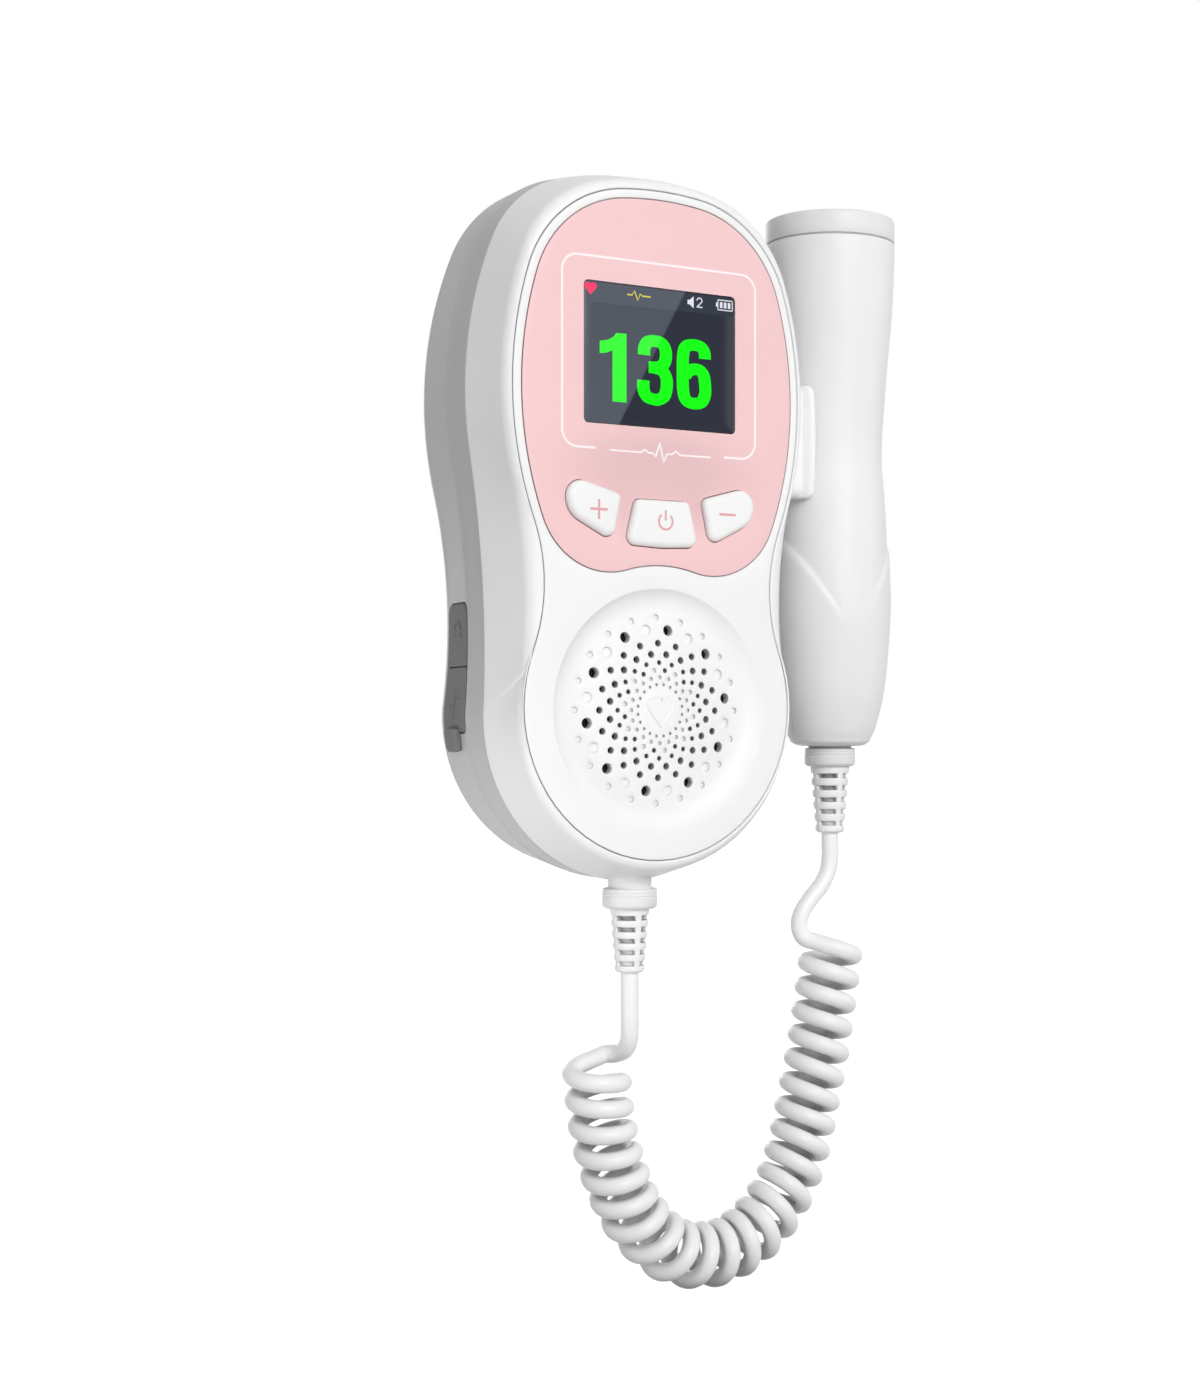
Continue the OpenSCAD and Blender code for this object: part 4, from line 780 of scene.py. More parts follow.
def tube(path, radius, sides):
    """A tube along a path, its rings square to the path and free of twist."""
    rings, u = [], None
    for i, p in enumerate(path):
        t = (path[min(len(path) - 1, i + 1)] - path[max(0, i - 1)]).normalized()
        if u is None:
            u = Vector((1, 0, 0))
        u = (u - t * u.dot(t)).normalized()
        w = t.cross(u)
        rings.append([p + radius * (math.cos(a) * u + math.sin(a) * w)
                      for a in (math.tau * j / sides for j in range(sides))])
    return loft(rings, caps=(True, True))


def thinned_out(path, least):
    """The path without points closer than least to the one before."""
    out = [path[0]]
    for p in path[1:]:
        if (p - out[-1]).length >= least:
            out.append(p)
    if (path[-1] - out[-1]).length > 1e-6:
        out[-1] = path[-1]
    return out


def add_cord():
    path = thinned_out(cord_route(), 0.25)
    length = sum((b - a).length for a, b in zip(path, path[1:]))
    obj = make_object("cord", [tube(path, CORD_D / 2, 16)], sharp=60)
    obj.data.materials.append(MATERIALS["cord_white"])
    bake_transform(obj)
    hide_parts("cord_lead_main", "cord_curls", "cord_lead_probe")


# ---------------------------------------------------------------- case shells

def front_at(a, inset=0.0):
    """The front wall at an angle round its edge."""
    share = FRONT_SHARE * math.sin(math.radians(a))
    return ring(mixed(seam_outline(inset), part_outline(inset), share),
                FRONT_ROUND * (1 - math.cos(math.radians(a))))


def drafted(d, inset=0.0):
    """The front wall at a depth behind its round edge."""
    d0 = FRONT_ROUND * (1 - math.cos(math.radians(ROUND_END)))
    s0 = FRONT_SHARE * math.sin(math.radians(ROUND_END))
    return ring(mixed(seam_outline(inset), part_outline(inset),
                      mix(s0, 1, (d - d0) / (PARTING_D - d0))), d)


GROOVE = 0.16


def add_front_shell():
    rings = [ring(seam_outline(0), 2.3), ring(seam_outline(0), 0.55)]
    for out, d in ((0.03, 0.32), (0.1, 0.16), (0.22, 0.06), (0.36, 0.03)):
        rings.append(ring(seam_outline(-out), d))
    rings += [front_at(a) for a in range(15, ROUND_END + 1, 4)]
    rings += [drafted(d) for d in (4.0, 6.0, 8.0, 10.0, 11.6, PARTING_D - GROOVE - 0.05)]
    rings += [ring(part_outline(0.05), PARTING_D - 0.08), ring(part_outline(GROOVE + 0.1), PARTING_D)]
    rings += [ring(part_outline(WALL), PARTING_D), ring(seam_outline(WALL + 0.4), 4.4),
              ring(seam_outline(LEDGE_W), 4.4), ring(seam_outline(LEDGE_W), 2.3), rings[0]]
    obj = make_object("front_bezel", [loft(rings)])
    dress(obj, "monitor", MATERIALS["case_white"], ["front_shell"])


def rear_rings():
    rings = [ring(part_outline(GROOVE + 0.1), PARTING_D), ring(part_outline(0.05), PARTING_D + 0.08)]
    rings += [ring(side_outline(d), d) for d in (PARTING_D + 0.3, 15.0, 17.4, 19.0)]
    rings += [ring(side_outline(CREASE_D, -0.02), CREASE_D)]
    rings += [ring(side_outline(d, -0.011 * (32.0 - d) if d > 20 else -0.1), d)
              for d in (CREASE_D + 0.14, 22.0, 24.0, 26.0, 28.0, 30.0, 32.0)]
    rings += [ring(rear_outline(REAR_FILLET * (1 - math.cos(a))),
                   CASE_DEPTH - REAR_FILLET * (1 - math.sin(a))) for a in round_steps(15)]
    rings += [ring(rear_outline(REAR_FILLET + 0.8), CASE_DEPTH)]
    inner = CASE_DEPTH - WALL
    rings += [ring(rear_outline(REAR_FILLET + 0.8), inner), ring(rear_outline(WALL + 1), inner - 1),
              ring(rear_outline(WALL), CASE_DEPTH - REAR_FILLET), ring(part_outline(WALL), PARTING_D)]
    return rings


def rear_body():
    """The rear shell as one closed skin, with flat caps inside and outside."""
    rings = rear_rings()
    outer_cap = len(rings) - 5
    verts, faces = loft(rings + [rings[0]])
    n = len(rings[0])
    # The two flat caps take the place of the strip that joins the outer and inner rear face
    keep = [f for f in faces if not (f[0] // n == outer_cap)]
    keep.append(tuple(outer_cap * n + j for j in range(n)))
    keep.append(tuple((outer_cap + 1) * n + n - 1 - j for j in range(n)))
    return verts, keep


def left_side(d):
    """Points of the case's left side at a depth, from the bottom up."""
    if d not in left_side.kept:
        left_side.kept[d] = [p for p in side_outline(d) if p.x < -5 and -60 < p.y < 20]
    return left_side.kept[d]


left_side.kept = {}


def on_side(d, z, height):
    """A point on the case's left side at a depth and a height above the origin, moved outwards."""
    points = left_side(round(d * 8) / 8)
    for a, b in zip(points, points[1:]):
        if (a.y - z) * (b.y - z) <= 0 and a.y != b.y:
            break
    t = (z - a.y) / (b.y - a.y)
    edge = (b - a).normalized()
    out = Vector((-abs(edge.y), edge.x * math.copysign(1, edge.y)))
    # The direction out of the side, square to the outline between its two points
    p = mix(a, b, t) + out * height
    return (p.x, d - CASE_DEPTH, p.y)


def side_patch(d0, d1, z0, z1, radii):
    """A rounded rectangle on the left side, as outline(inset) in depth and height."""
    corners = ((d0, z1), (d0, z0), (d1, z0), (d1, z1))

    def outline(inset):
        points = rounded(corners, radii, inset, 8)
        dense = []
        for a, b in zip(points, points[1:] + points[:1]):
            parts = max(1, round((b - a).length / 0.9))
            dense += [mix(a, b, k / parts) for k in range(parts)]
        return dense
    return outline


def side_place(p, h):
    return on_side(p[0], p[1], h)


def matched(outline, levels):
    """An outline whose rings all have as many points as the first level's."""
    base = outline(levels[0][0])

    def at(inset):
        if abs(inset - levels[0][0]) < 1e-9:
            return base
        centre = sum(base, Vector((0, 0))) / len(base)
        low = Vector((min(p.x for p in base), min(p.y for p in base)))
        high = Vector((max(p.x for p in base), max(p.y for p in base)))
        size = high - low
        step = inset - levels[0][0]
        scale = Vector(((size.x - 2 * step) / size.x, (size.y - 2 * step) / size.y))
        return [centre + Vector(((p.x - centre.x) * scale.x, (p.y - centre.y) * scale.y)) for p in base]
    return at


def side_solid(name, outline, levels, sharp=32):
    return make_object(name, [pillow(matched(outline, levels), levels, side_place)], sharp)


def bore(name, profile, place):
    """A closed cutter turned about an axis: (radius, reach) points set out by place."""
    rings = [[place(polar(r, 360 * j / 48), reach) for j in range(48)] for r, reach in profile]
    return make_object(name, [loft(rings, caps=(True, True))])


SCREW_PLACES = ((-25.5, 54), (25.5, 54), (-20, -55.5), (20, -55.5))
# Radius and depth down a screw's recess, with its rounded mouth at the rear face
SCREW_RECESS = ((2.7, 14.5), (2.7, 37.5), (2.78, 37.8), (3.0, 38.0), (3.0, 39.0))
JACK_BORE_R, USB_MOUTH = 3.1, (2.0, 4.9)
CUT_PAST = 2


def add_rear_shell():
    obj = make_object("rear_case", [rear_body()])
    cutters = []
    pocket = side_patch(FLAP_D0, FLAP_D1, FLAP_END, FLAP_TOP, (2.3, 1.2, 1.2, 2.3))
    levels = [(0, -FLAP_POCKET), (0, -0.3), (-0.06, -0.12), (-0.2, 0.0), (-0.2, 2.5)]
    cutters.append(side_solid("pocket_cutter", pocket, levels))
    for x, z in SCREW_PLACES:
        cutters.append(bore("screw_cutter", SCREW_RECESS,
                            lambda p, d, x=x, z=z: (x + p.x, d - CASE_DEPTH, z + p.y)))
    jack_z, usb_z = (FLAP_TOP + FLAP_SPLIT) / 2, (FLAP_SPLIT + FLAP_END) / 2 - 0.3
    ends = (-LOWER_W - CUT_PAST, PORT_MOUTH_X + 3)
    cutters.append(bore("jack_cutter", [(JACK_BORE_R, x) for x in ends],
                        lambda p, x: (x, PORT_D - CASE_DEPTH + p.x, jack_z + p.y)))
    w, h = USB_MOUTH
    slot = rounded(((-w, h), (-w, -h), (w, -h), (w, h)), (0.8,) * 4, 0, 6)
    cutters.append(make_object("usb_cutter", [loft(
        [[(x, PORT_D - CASE_DEPTH + p.x, usb_z + p.y) for p in slot] for x in ends],
        caps=(True, True))]))
    cut(obj, cutters)
    dress(obj, "monitor", MATERIALS["case_rear"], ["rear_shell"])


# ---------------------------------------------------------------- face plate, dish and heart

DOME_R = (DISH_FLOOR_R ** 2 + DOME_RISE ** 2) / (2 * DOME_RISE)


DISH_CENTRE = (0, SPEAKER_Z)
DISH_EDGE = 19.9
DISH_FALL, DISH_EASE, DISH_BLEND = 2.5, 1.9, 0.6


def dish_depth(r):
    """Depth of the dish: a steep rim that eases into the pierced dome."""
    dome = DISH_D - DOME_RISE + DOME_R - math.sqrt(DOME_R ** 2 - r * r)
    rim = DISH_FALL * (1 - math.exp(-max(0.0, DISH_R - r) / DISH_EASE))
    share = min(1.0, max(0.0, 0.5 + 0.5 * (rim - dome) / DISH_BLEND))
    return mix(rim, dome, share) - DISH_BLEND * share * (1 - share)


def dish_wall():
    """From the plate's flat over a crisp rim and down to the pierced dome, as radius and depth."""
    points = [(DISH_R + 0.3, 0.0), (DISH_R + 0.12, 0.015), (DISH_R, 0.05)]
    points += [(r, dish_depth(r) + 0.04 * (r - DISH_EDGE) / (DISH_R - DISH_EDGE))
               for r in (mix(DISH_R - 0.1, DISH_EDGE, i / 22) for i in range(23))]
    return [Vector(p) for p in points]


def plate_front():
    """The plate's flat front between its own edge, the panel and the dish."""
    loops = [seam_outline(0.12 + 0.4), panel_outline(-0.18), circle(DISH_CENTRE, DISH_R + 0.3, 144)]
    verts, faces = filled(loops, 2.2)
    return [in_front(v) for v in verts], faces


def plate_edge():
    rings = [ring(seam_outline(0.12 + 0.4 * (1 - math.sin(a))), 0.4 * (1 - math.cos(a)))
             for a in round_steps(4)]
    return loft(rings + [ring(seam_outline(0.12), PLATE_T), ring(seam_outline(2.6), PLATE_T)])


def panel_step():
    """The plate's small step down to the panel's seat."""
    return loft([ring(panel_outline(-0.18 + 0.1 * t), 0.1 * t * t + 0.02 * t) for t in (0, 0.5, 1.0)]
                + [ring(panel_outline(-0.06), 0.3), ring(panel_outline(0.4), 0.36)])


def grille_places():
    for radius, hole, turn, through in GRILLE_RINGS:
        for i in range(GRILLE_COUNT):
            a = (i + turn) * 360 / GRILLE_COUNT
            centre = Vector((radius * math.sin(math.radians(a)), radius * math.cos(math.radians(a))))
            yield centre, hole, through == 1 or (through == 2 and i % 2 == 0)


def on_dome(p, extra=0.0):
    """A point in the dish, given from its centre, on the dome and moved back by extra."""
    return (p[0], dish_depth(math.hypot(p[0], p[1])) - CASE_DEPTH + extra, SPEAKER_Z + p[1])


HOLE_SIDES = 24


def dome_surface():
    lip = 0.08
    loops = [circle((0, 0), DISH_EDGE, 144)]
    parts = []
    for centre, hole, through in grille_places():
        outer = circle(centre, hole + lip, HOLE_SIDES)
        loops.append(outer)
        if through:
            profile = ((hole + lip, 0), (hole + 0.02, 0.03), (hole, 0.12), (hole * 0.97, 0.6),
                       (hole * 0.95, DISH_WALL))
        else:
            deep = 0.62 if hole > 1 else 0.5
            profile = ((hole + lip, 0), (hole + 0.01, 0.05), (hole * 0.94, 0.72 * deep),
                       (hole * 0.82, 0.95 * deep), (hole * 0.5, deep), (0.01, deep))
        rings = [[on_dome(p, d) for p in circle(centre, r, HOLE_SIDES)] for r, d in profile]
        parts.append(loft(rings))
    verts, faces = filled(loops, 1.0)
    parts.append(([on_dome(v) for v in verts], faces))
    return parts


def heart_outline(w, n=24):
    """Two round lobes over a point, about its centre, from the notch down the right side."""
    lobe_r, lobe = w * 0.27, Vector((w * 0.23, w * 0.18))
    right = [lobe + polar(lobe_r, a) for a in
             (mix(148, -34, i / n) for i in range(n + 1))]
    tip = Vector((0, -w * 0.53))
    side = right[-1]
    bend = Vector((w * 0.24, -w * 0.26))
    for i in range(1, 11):
        t = i / 11
        right.append(side * (1 - t) ** 2 + 2 * bend * t * (1 - t) + tip * t * t)
    right.append(tip)
    notch = Vector((0, right[0].y - 0.05 * w))
    half = [notch] + right
    return half + [Vector((-p.x, p.y)) for p in reversed(half[1:-1])]


def heart_part():
    outline = heart_outline(HEART_W)

    def at(inset):
        return [p * (1 - inset / (HEART_W * 0.5)) for p in outline]

    levels = [(-0.12, -0.12), (-0.08, 0.1), (-0.02, 0.36), (0.07, 0.54), (0.22, 0.6), (0.5, 0.48)]

    def place(p, h):
        x, y, z = on_dome(p)
        return (x, y - h, z)
    return pillow(at, levels, place)


def add_face_plate():
    dish = [[in_front(Vector(DISH_CENTRE) + polar(p.x, 360 * j / 144), -p.y) for j in range(144)]
            for p in dish_wall()]
    parts = [plate_front(), plate_edge(), panel_step(), loft(dish)] + dome_surface() + [heart_part()]
    obj = make_object("face", parts, sharp=38)
    dress(obj, "monitor", MATERIALS["plate_white"], ["face_plate"])


# ---------------------------------------------------------------- panel, print, window and buttons

def plus_outline(inset=0.0, n=16):
    return rounded(PLUS_CORNERS, PLUS_RADII, inset, n)


def minus_outline(inset=0.0, n=16):
    return mirrored(plus_outline(inset, n))


def power_outline(inset=0.0, n=16):
    return rounded(POWER_CORNERS, POWER_RADII, inset, n)


def window_outline(inset=0.0, radius=0.9):
    return rounded(box_corners(SCREEN_W, SCREEN_H, SCREEN_Z), (radius,) * 4, inset, 6)


HOLLOW = 0.3
FILM_GAP = 0.19


def hollow(p):
    """How far the panel dips at a point: a soft hollow above and around the buttons."""
    far = math.hypot(p[0] / 25.0, (p[1] - 6.5) / 12.0)
    return HOLLOW * (1 - smooth((far - 0.55) / 0.5))


def on_panel(p, h=0.0):
    return in_front(p, h - hollow(p))


def add_panel():
    gap, window = FILM_GAP, window_outline(-0.1)
    outlines = (plus_outline, minus_outline, power_outline)
    holes = [f(-gap) for f in outlines]
    verts, faces = filled([panel_outline(0.16), window] + holes, 1.5)
    parts = [([on_panel(v) for v in verts], faces)]
    # The film's edge and the walls round the buttons take the darker pink of slot 1, painted shade for
    # the gaps.
    edge = [[in_front(p, h) for p in panel_outline(inset)]
            for inset, h in ((0.16, 0), (0.08, -0.03), (0.05, -0.12), (0.05, -PANEL_T))]
    parts.append((*loft(edge), 1))
    for f in outlines:
        rings = [[on_panel(p, h) for p in f(-g)] for g, h in
                 ((gap, 0), (gap - 0.03, -0.03), (gap - 0.05, -0.1), (gap - 0.05, -1.6))]
        parts.append((*loft(rings), 1))
    parts.append(loft([[in_front(p, h) for p in window] for h in (0, -0.4)]))
    obj = make_object("panel", parts, sharp=30)
    dress(obj, "monitor", [MATERIALS["panel_pink"], MATERIALS["panel_edge"]],
          ["panel_overlay"])


def ribbon(points, width, place, thick=0.03, closed_loop=False, pen=None):
    """A flat printed line along points, or an oblong pen's stroke where pen is (half w, half h)."""
    rows = []
    n = len(points)
    for i, p in enumerate(points):
        if closed_loop:
            t = (points[(i + 1) % n] - points[i - 1]).normalized()
        else:
            t = (points[min(n - 1, i + 1)] - points[max(0, i - 1)]).normalized()
        normal = Vector((-t.y, t.x))
        if pen:
            size = math.hypot(pen[0] * normal.x, pen[1] * normal.y)
            reach = Vector((pen[0] ** 2 * normal.x, pen[1] ** 2 * normal.y)) / size
        else:
            reach = normal * width / 2
        rows.append([place(p + reach * s, h)
                     for s, h in ((1, 0), (0.96, thick), (-0.96, thick), (-1, 0))])
    if closed_loop:
        rows.append(rows[0])
        return loft(rows)
    return loft(rows, caps=(True, True))


def line_points(a, b, n=8):
    return [mix(Vector(a), Vector(b), i / n) for i in range(n + 1)]


def add_print():
    """The white line round the screen, open below, and a small pulse trace in its gap."""
    half_w, top, stub_z, stub_x, r = 22.55, 52.7, 15.0, 15.0, 3.4
    left = Vector((-half_w + r, stub_z + r))
    upper = Vector((-half_w + r, top - r))
    points = line_points((-stub_x, stub_z), (left.x, stub_z), 6)
    points += [left + polar(r, a) for a in range(264, 179, -6)]
    points += line_points((-half_w, left.y), (-half_w, upper.y), 24)[1:]
    points += [upper + polar(r, a) for a in range(174, 89, -6)]
    points += line_points((upper.x, top), (0, top), 12)[1:]
    points += [Vector((-p.x, p.y)) for p in reversed(points[:-1])]
    trace = [Vector(p) for p in (
        (-11.8, 14.8), (-4.6, 14.8), (-3.7, 15.4), (-2.8, 14.8), (-1.7, 14.8), (-1.1, 14.1),
        (-0.2, 17.0), (0.8, 13.1), (1.5, 14.8), (2.6, 14.8), (3.6, 15.5), (4.6, 14.8), (11.8, 14.8))]
    dense = []
    for a, b in zip(trace, trace[1:]):
        dense += line_points(a, b, max(2, round((b - a).length / 0.8)))[:-1]
    dense.append(trace[-1])
    parts = [ribbon(points, 0.48, on_panel), ribbon(dense, 0.38, on_panel)]
    obj = make_object("panel_print", parts, sharp=60)
    dress(obj, "monitor", MATERIALS["print_white"])


def button_parts(outline, icon_parts, sag=0.14):
    """A button with a round edge and a slightly crowned top, and its printed sign."""
    base = outline(0)
    centre = sum(base, Vector((0, 0))) / len(base)

    def place(p, h):
        far = (Vector((p[0], p[1])) - centre).length / 8.0
        return in_front(p, h - sag * far * far * smooth(h / BUTTON_PROUD))

    straight = BUTTON_PROUD - BUTTON_ROUND
    levels = [(0, -PLATE_T - 0.1), (0, straight)]
    levels += [(BUTTON_ROUND * (1 - math.cos(a)), straight + BUTTON_ROUND * math.sin(a))
               for a in round_steps(9)[1:]]
    body = pillow(outline, levels, place)
    signs = [(*part, 1) for part in icon_parts(lambda p, h: place(p, BUTTON_PROUD + h))]
    return [body] + signs


def plus_sign(place):
    x, z, arm, w = -15.1, 2.8, 1.95, 0.5
    return [ribbon(line_points((x - arm, z), (x + arm, z)), w, place),
            ribbon(line_points((x, z - arm), (x, z + arm)), w, place, 0.032)]


def minus_sign(place):
    return [ribbon(line_points((12.95, 3.2), (16.85, 3.2)), 0.5, place)]


def power_sign(place):
    c = Vector((0.2, 1.1))
    ring_points = [c + polar(1.6, a) for a in range(128, 413, 9)]
    bar = line_points((c.x, c.y + 0.2), (c.x, c.y + 2.25), 4)
    return [ribbon(ring_points, 0.45, place), ribbon(bar, 0.45, place, 0.032)]


BUTTONS = (("button_plus", plus_outline, plus_sign), ("button_power", power_outline, power_sign),
           ("button_minus", minus_outline, minus_sign))


def add_buttons():
    for name, outline, sign in BUTTONS:
        obj = make_object(name + "_key", button_parts(outline, sign), sharp=40)
        dress(obj, name, [MATERIALS["button_white"], MATERIALS["icon_pink"]], [name])


def add_window():
    levels = [(0, -WINDOW_T), (0, -0.16), (0.05, -0.05), (0.14, -0.02)]
    shrink = (0.8, 0.5, 0.2, 0.02)
    obj = make_object("window", [pillow(window_outline, levels, in_front, shrink)], 40)
    dress(obj, "monitor", MATERIALS["window_dark"], ["display_window"])


def on_screen(p, h=0.0):
    return in_front(p, h - 0.018)


def polygon(points, place=on_screen, thick=0.01):
    top = [place(Vector(p), thick) for p in points]
    low = [place(Vector(p), 0) for p in points]
    return loft([low, top], caps=(False, True))


DIGIT_PEN = (1.42, 1.16)


def stroke(points, pen=DIGIT_PEN, steps=8, thick=0.012):
    return ribbon(curve([Vector(p) for p in points], steps), 0, on_screen, thick, pen=pen)


def digits():
    """1, 3 and 6. The second stroke of a figure lies a little over its first."""
    crossing_thick = 0.014
    one = polygon(((-8.0, 38.05), (-10.3, 38.0), (-11.1, 37.1), (-12.4, 36.45), (-14.1, 36.1),
                   (-14.1, 33.7), (-12.6, 33.9), (-11.2, 34.5), (-11.2, 24.4), (-8.0, 24.4)))
    three = [stroke(((-3.97, 34.24), (-3.86, 35.66), (-3.11, 36.88), (-1.45, 37.23), (0.3, 36.83),
                     (1.11, 35.37), (0.97, 33.41), (-0.03, 32.23), (-1.54, 31.94), (-2.87, 31.92))),
             stroke(((-2.87, 31.9), (-1.54, 31.86), (0.26, 31.45), (1.2, 30.18), (1.35, 28.41),
                     (0.82, 26.46), (-0.6, 25.58), (-1.64, 25.53), (-3.25, 25.97), (-4.05, 27.34),
                     (-4.1, 29.2)), thick=crossing_thick)]
    six = [stroke(((10.39, 34.65), (10.29, 35.94), (9.49, 36.97), (7.73, 37.27), (5.96, 36.82),
                   (5.23, 35.24), (5.1, 31.1), (5.28, 27.46), (6.06, 25.88), (7.82, 25.43),
                   (9.59, 25.88), (10.42, 27.46), (10.47, 29.13), (10.18, 31.1))),
           stroke(((10.47, 29.13), (10.18, 31.1), (9.29, 32.19), (7.92, 32.39), (6.55, 31.89),
                   (5.67, 30.91)), thick=crossing_thick)]
    return [one] + three + six


def status_marks():
    """White speaker sign, the volume step and the battery outline at the top of the screen."""
    thin = (0.12, 0.12)
    speaker = polygon(((6.25, 46.3), (6.75, 46.3), (7.7, 47.1), (7.7, 44.7), (6.75, 45.4), (6.25, 45.4)))
    two = stroke(((8.45, 46.35), (8.7, 46.75), (9.15, 46.9), (9.6, 46.65), (9.65, 46.2), (9.2, 45.7),
                  (8.75, 45.3), (8.45, 45.05)), thin, 5)
    two_foot = stroke(((8.45, 45.05), (9.1, 45.05), (9.8, 45.05)), thin, 2)
    x0, x1, z0, z1 = 13.5, 17.0, 45.0, 47.0
    box = ribbon([Vector(p) for a, b in (((x0, z0), (x1, z0)), ((x1, z0), (x1, z1)),
                                         ((x1, z1), (x0, z1)), ((x0, z1), (x0, z0)))
                  for p in line_points(a, b, 6)[:-1]], 0.22, on_screen, 0.01, True)
    tip = polygon(((x0 - 0.45, 45.6), (x0 - 0.1, 45.6), (x0 - 0.1, 46.4), (x0 - 0.45, 46.4)))
    bars = [polygon(((x, z0 + 0.4), (x + 0.62, z0 + 0.4), (x + 0.62, z1 - 0.4), (x, z1 - 0.4)))
            for x in (x0 + 0.5, x0 + 1.45, x0 + 2.4)]
    return [speaker, two, two_foot, box, tip] + bars


def add_screen_marks():
    bar = polygon(((-17.2, 43.55), (17.2, 43.95), (17.2, 47.55), (-17.2, 47.55)), thick=0.003)
    heart = [Vector((p.x * 0.44 - 16.15, p.y * 0.39 + 46.35)) for p in heart_outline(HEART_W)]
    pulse = ribbon([Vector(p) for p in ((-7.8, 45.9), (-6.7, 45.9), (-6.2, 46.8), (-5.4, 45.0),
                                        (-4.8, 46.3), (-4.3, 45.9), (-2.4, 45.9))],
                   0.32, on_screen, 0.012)
    groups = (("screen_bar", [bar], "lcd_bar"), ("screen_digits", digits(), "lcd_green"),
              ("screen_heart", [polygon(heart)], "lcd_red"),
              ("screen_marks", status_marks(), "lcd_white"), ("screen_pulse", [pulse], "lcd_amber"))
    for name, parts, material in groups:
        dress(make_object(name, parts, 60, 1e-7), "monitor", MATERIALS[material])


# ---------------------------------------------------------------- port cover

def edge_levels(base, top, r, steps=4):
    """Levels from a base height up a straight side and over a small round edge."""
    return [(0, base), (0, top - r)] + [(r * (1 - math.cos(a)), top - r + r * math.sin(a))
                                        for a in round_steps(steps)[1:]]


def bump(d, z, r, h):
    """A low round dot on a flap."""
    rings = []
    for a in (-20, 10, 35, 60, 85):
        rr, hh = r * math.cos(math.radians(max(0, a))), h * math.sin(math.radians(a))
        rings.append([on_side(d + rr * math.cos(t), z + rr * math.sin(t), FLAP_PROUD + hh)
                      for t in (math.tau * j / 14 for j in range(14))])
    return loft(rings, caps=(False, True))


def sign_line(points, width=0.45):
    """A low raised line on a flap, through (depth, height) points."""
    return ribbon([Vector(p) for p in points], width,
                  lambda p, h: on_side(p[0], p[1], FLAP_PROUD - 0.03 + h), 0.2)


def add_flaps():
    d0, d1 = FLAP_D0 + FLAP_GAP, FLAP_D1 - FLAP_GAP
    upper = side_patch(d0, d1, FLAP_SPLIT + FLAP_GAP / 2, FLAP_TOP - FLAP_GAP, (2.1, 0.5, 0.5, 2.1))
    lower = side_patch(d0, d1, FLAP_END + FLAP_GAP, FLAP_SPLIT - FLAP_GAP / 2, (0.5, 1.0, 1.0, 0.5))
    levels = edge_levels(-FLAP_POCKET + FLAP_GAP, FLAP_PROUD, 0.3)
    mid, sign_r, sign_z = PORT_D, 2.1, -20.6
    arc_points = [Vector((mid, sign_z)) + polar(sign_r, a) for a in range(10, 171, 16)]
    marks = [sign_line(arc_points)]
    marks += [bump(mid + side * sign_r, -21.4, 0.55, 0.25) for side in (-1, 1)]
    obj = make_object("flap_upper", [pillow(matched(upper, levels), levels, side_place)] + marks)
    dress(obj, "port_flap_upper", MATERIALS["flap_rubber"], ["port_flap_upper"])

    tab = side_patch(mid - TAB_W / 2, mid + TAB_W / 2, FLAP_END - TAB_L, FLAP_END + 1.0,
                     (0.5, 1.1, 1.1, 0.5))
    tab_levels = edge_levels(FLAP_PROUD - 0.15, FLAP_PROUD + 1.3, 0.45)
    stem = [(mid, -38.6), (mid, -37.4), (mid, -36.2), (mid, -35.0), (mid, -33.8)]
    marks = [sign_line(stem), bump(mid, -32.8, 0.5, 0.25), bump(mid - 2.2, -34.6, 0.5, 0.25),
             bump(mid + 2.2, -35.8, 0.5, 0.25)]
    parts = [pillow(matched(lower, levels), levels, side_place),
             pillow(matched(tab, tab_levels), tab_levels, side_place)]
    obj = make_object("flap_lower", parts + marks)
    dress(obj, "port_flap_lower", MATERIALS["flap_rubber"], ["port_flap_lower"])


# ---------------------------------------------------------------- glands and strain reliefs

def gland_profile(z_top, z_collar, neck_r, collar_r, collar_h):
    """Neck, collar with two fine grooves near its top, and a chamfered lower edge."""
    low = z_collar - collar_h
    profile = [(neck_r, z_top), (neck_r, z_collar), (collar_r - 0.35, z_collar),
               (collar_r - 0.1, z_collar - 0.12), (collar_r, z_collar - 0.4)]
    for z in (z_collar - 0.75, z_collar - 1.4):
        profile += [(collar_r, z), (collar_r - 0.16, z - 0.1), (collar_r - 0.16, z - 0.2),
                    (collar_r, z - 0.3)]
    return profile + [(collar_r, low + 0.75), (collar_r - 0.08, low + 0.5),
                      (collar_r - 0.55, low + 0.06), (collar_r - 0.75, low), (2.2, low)]


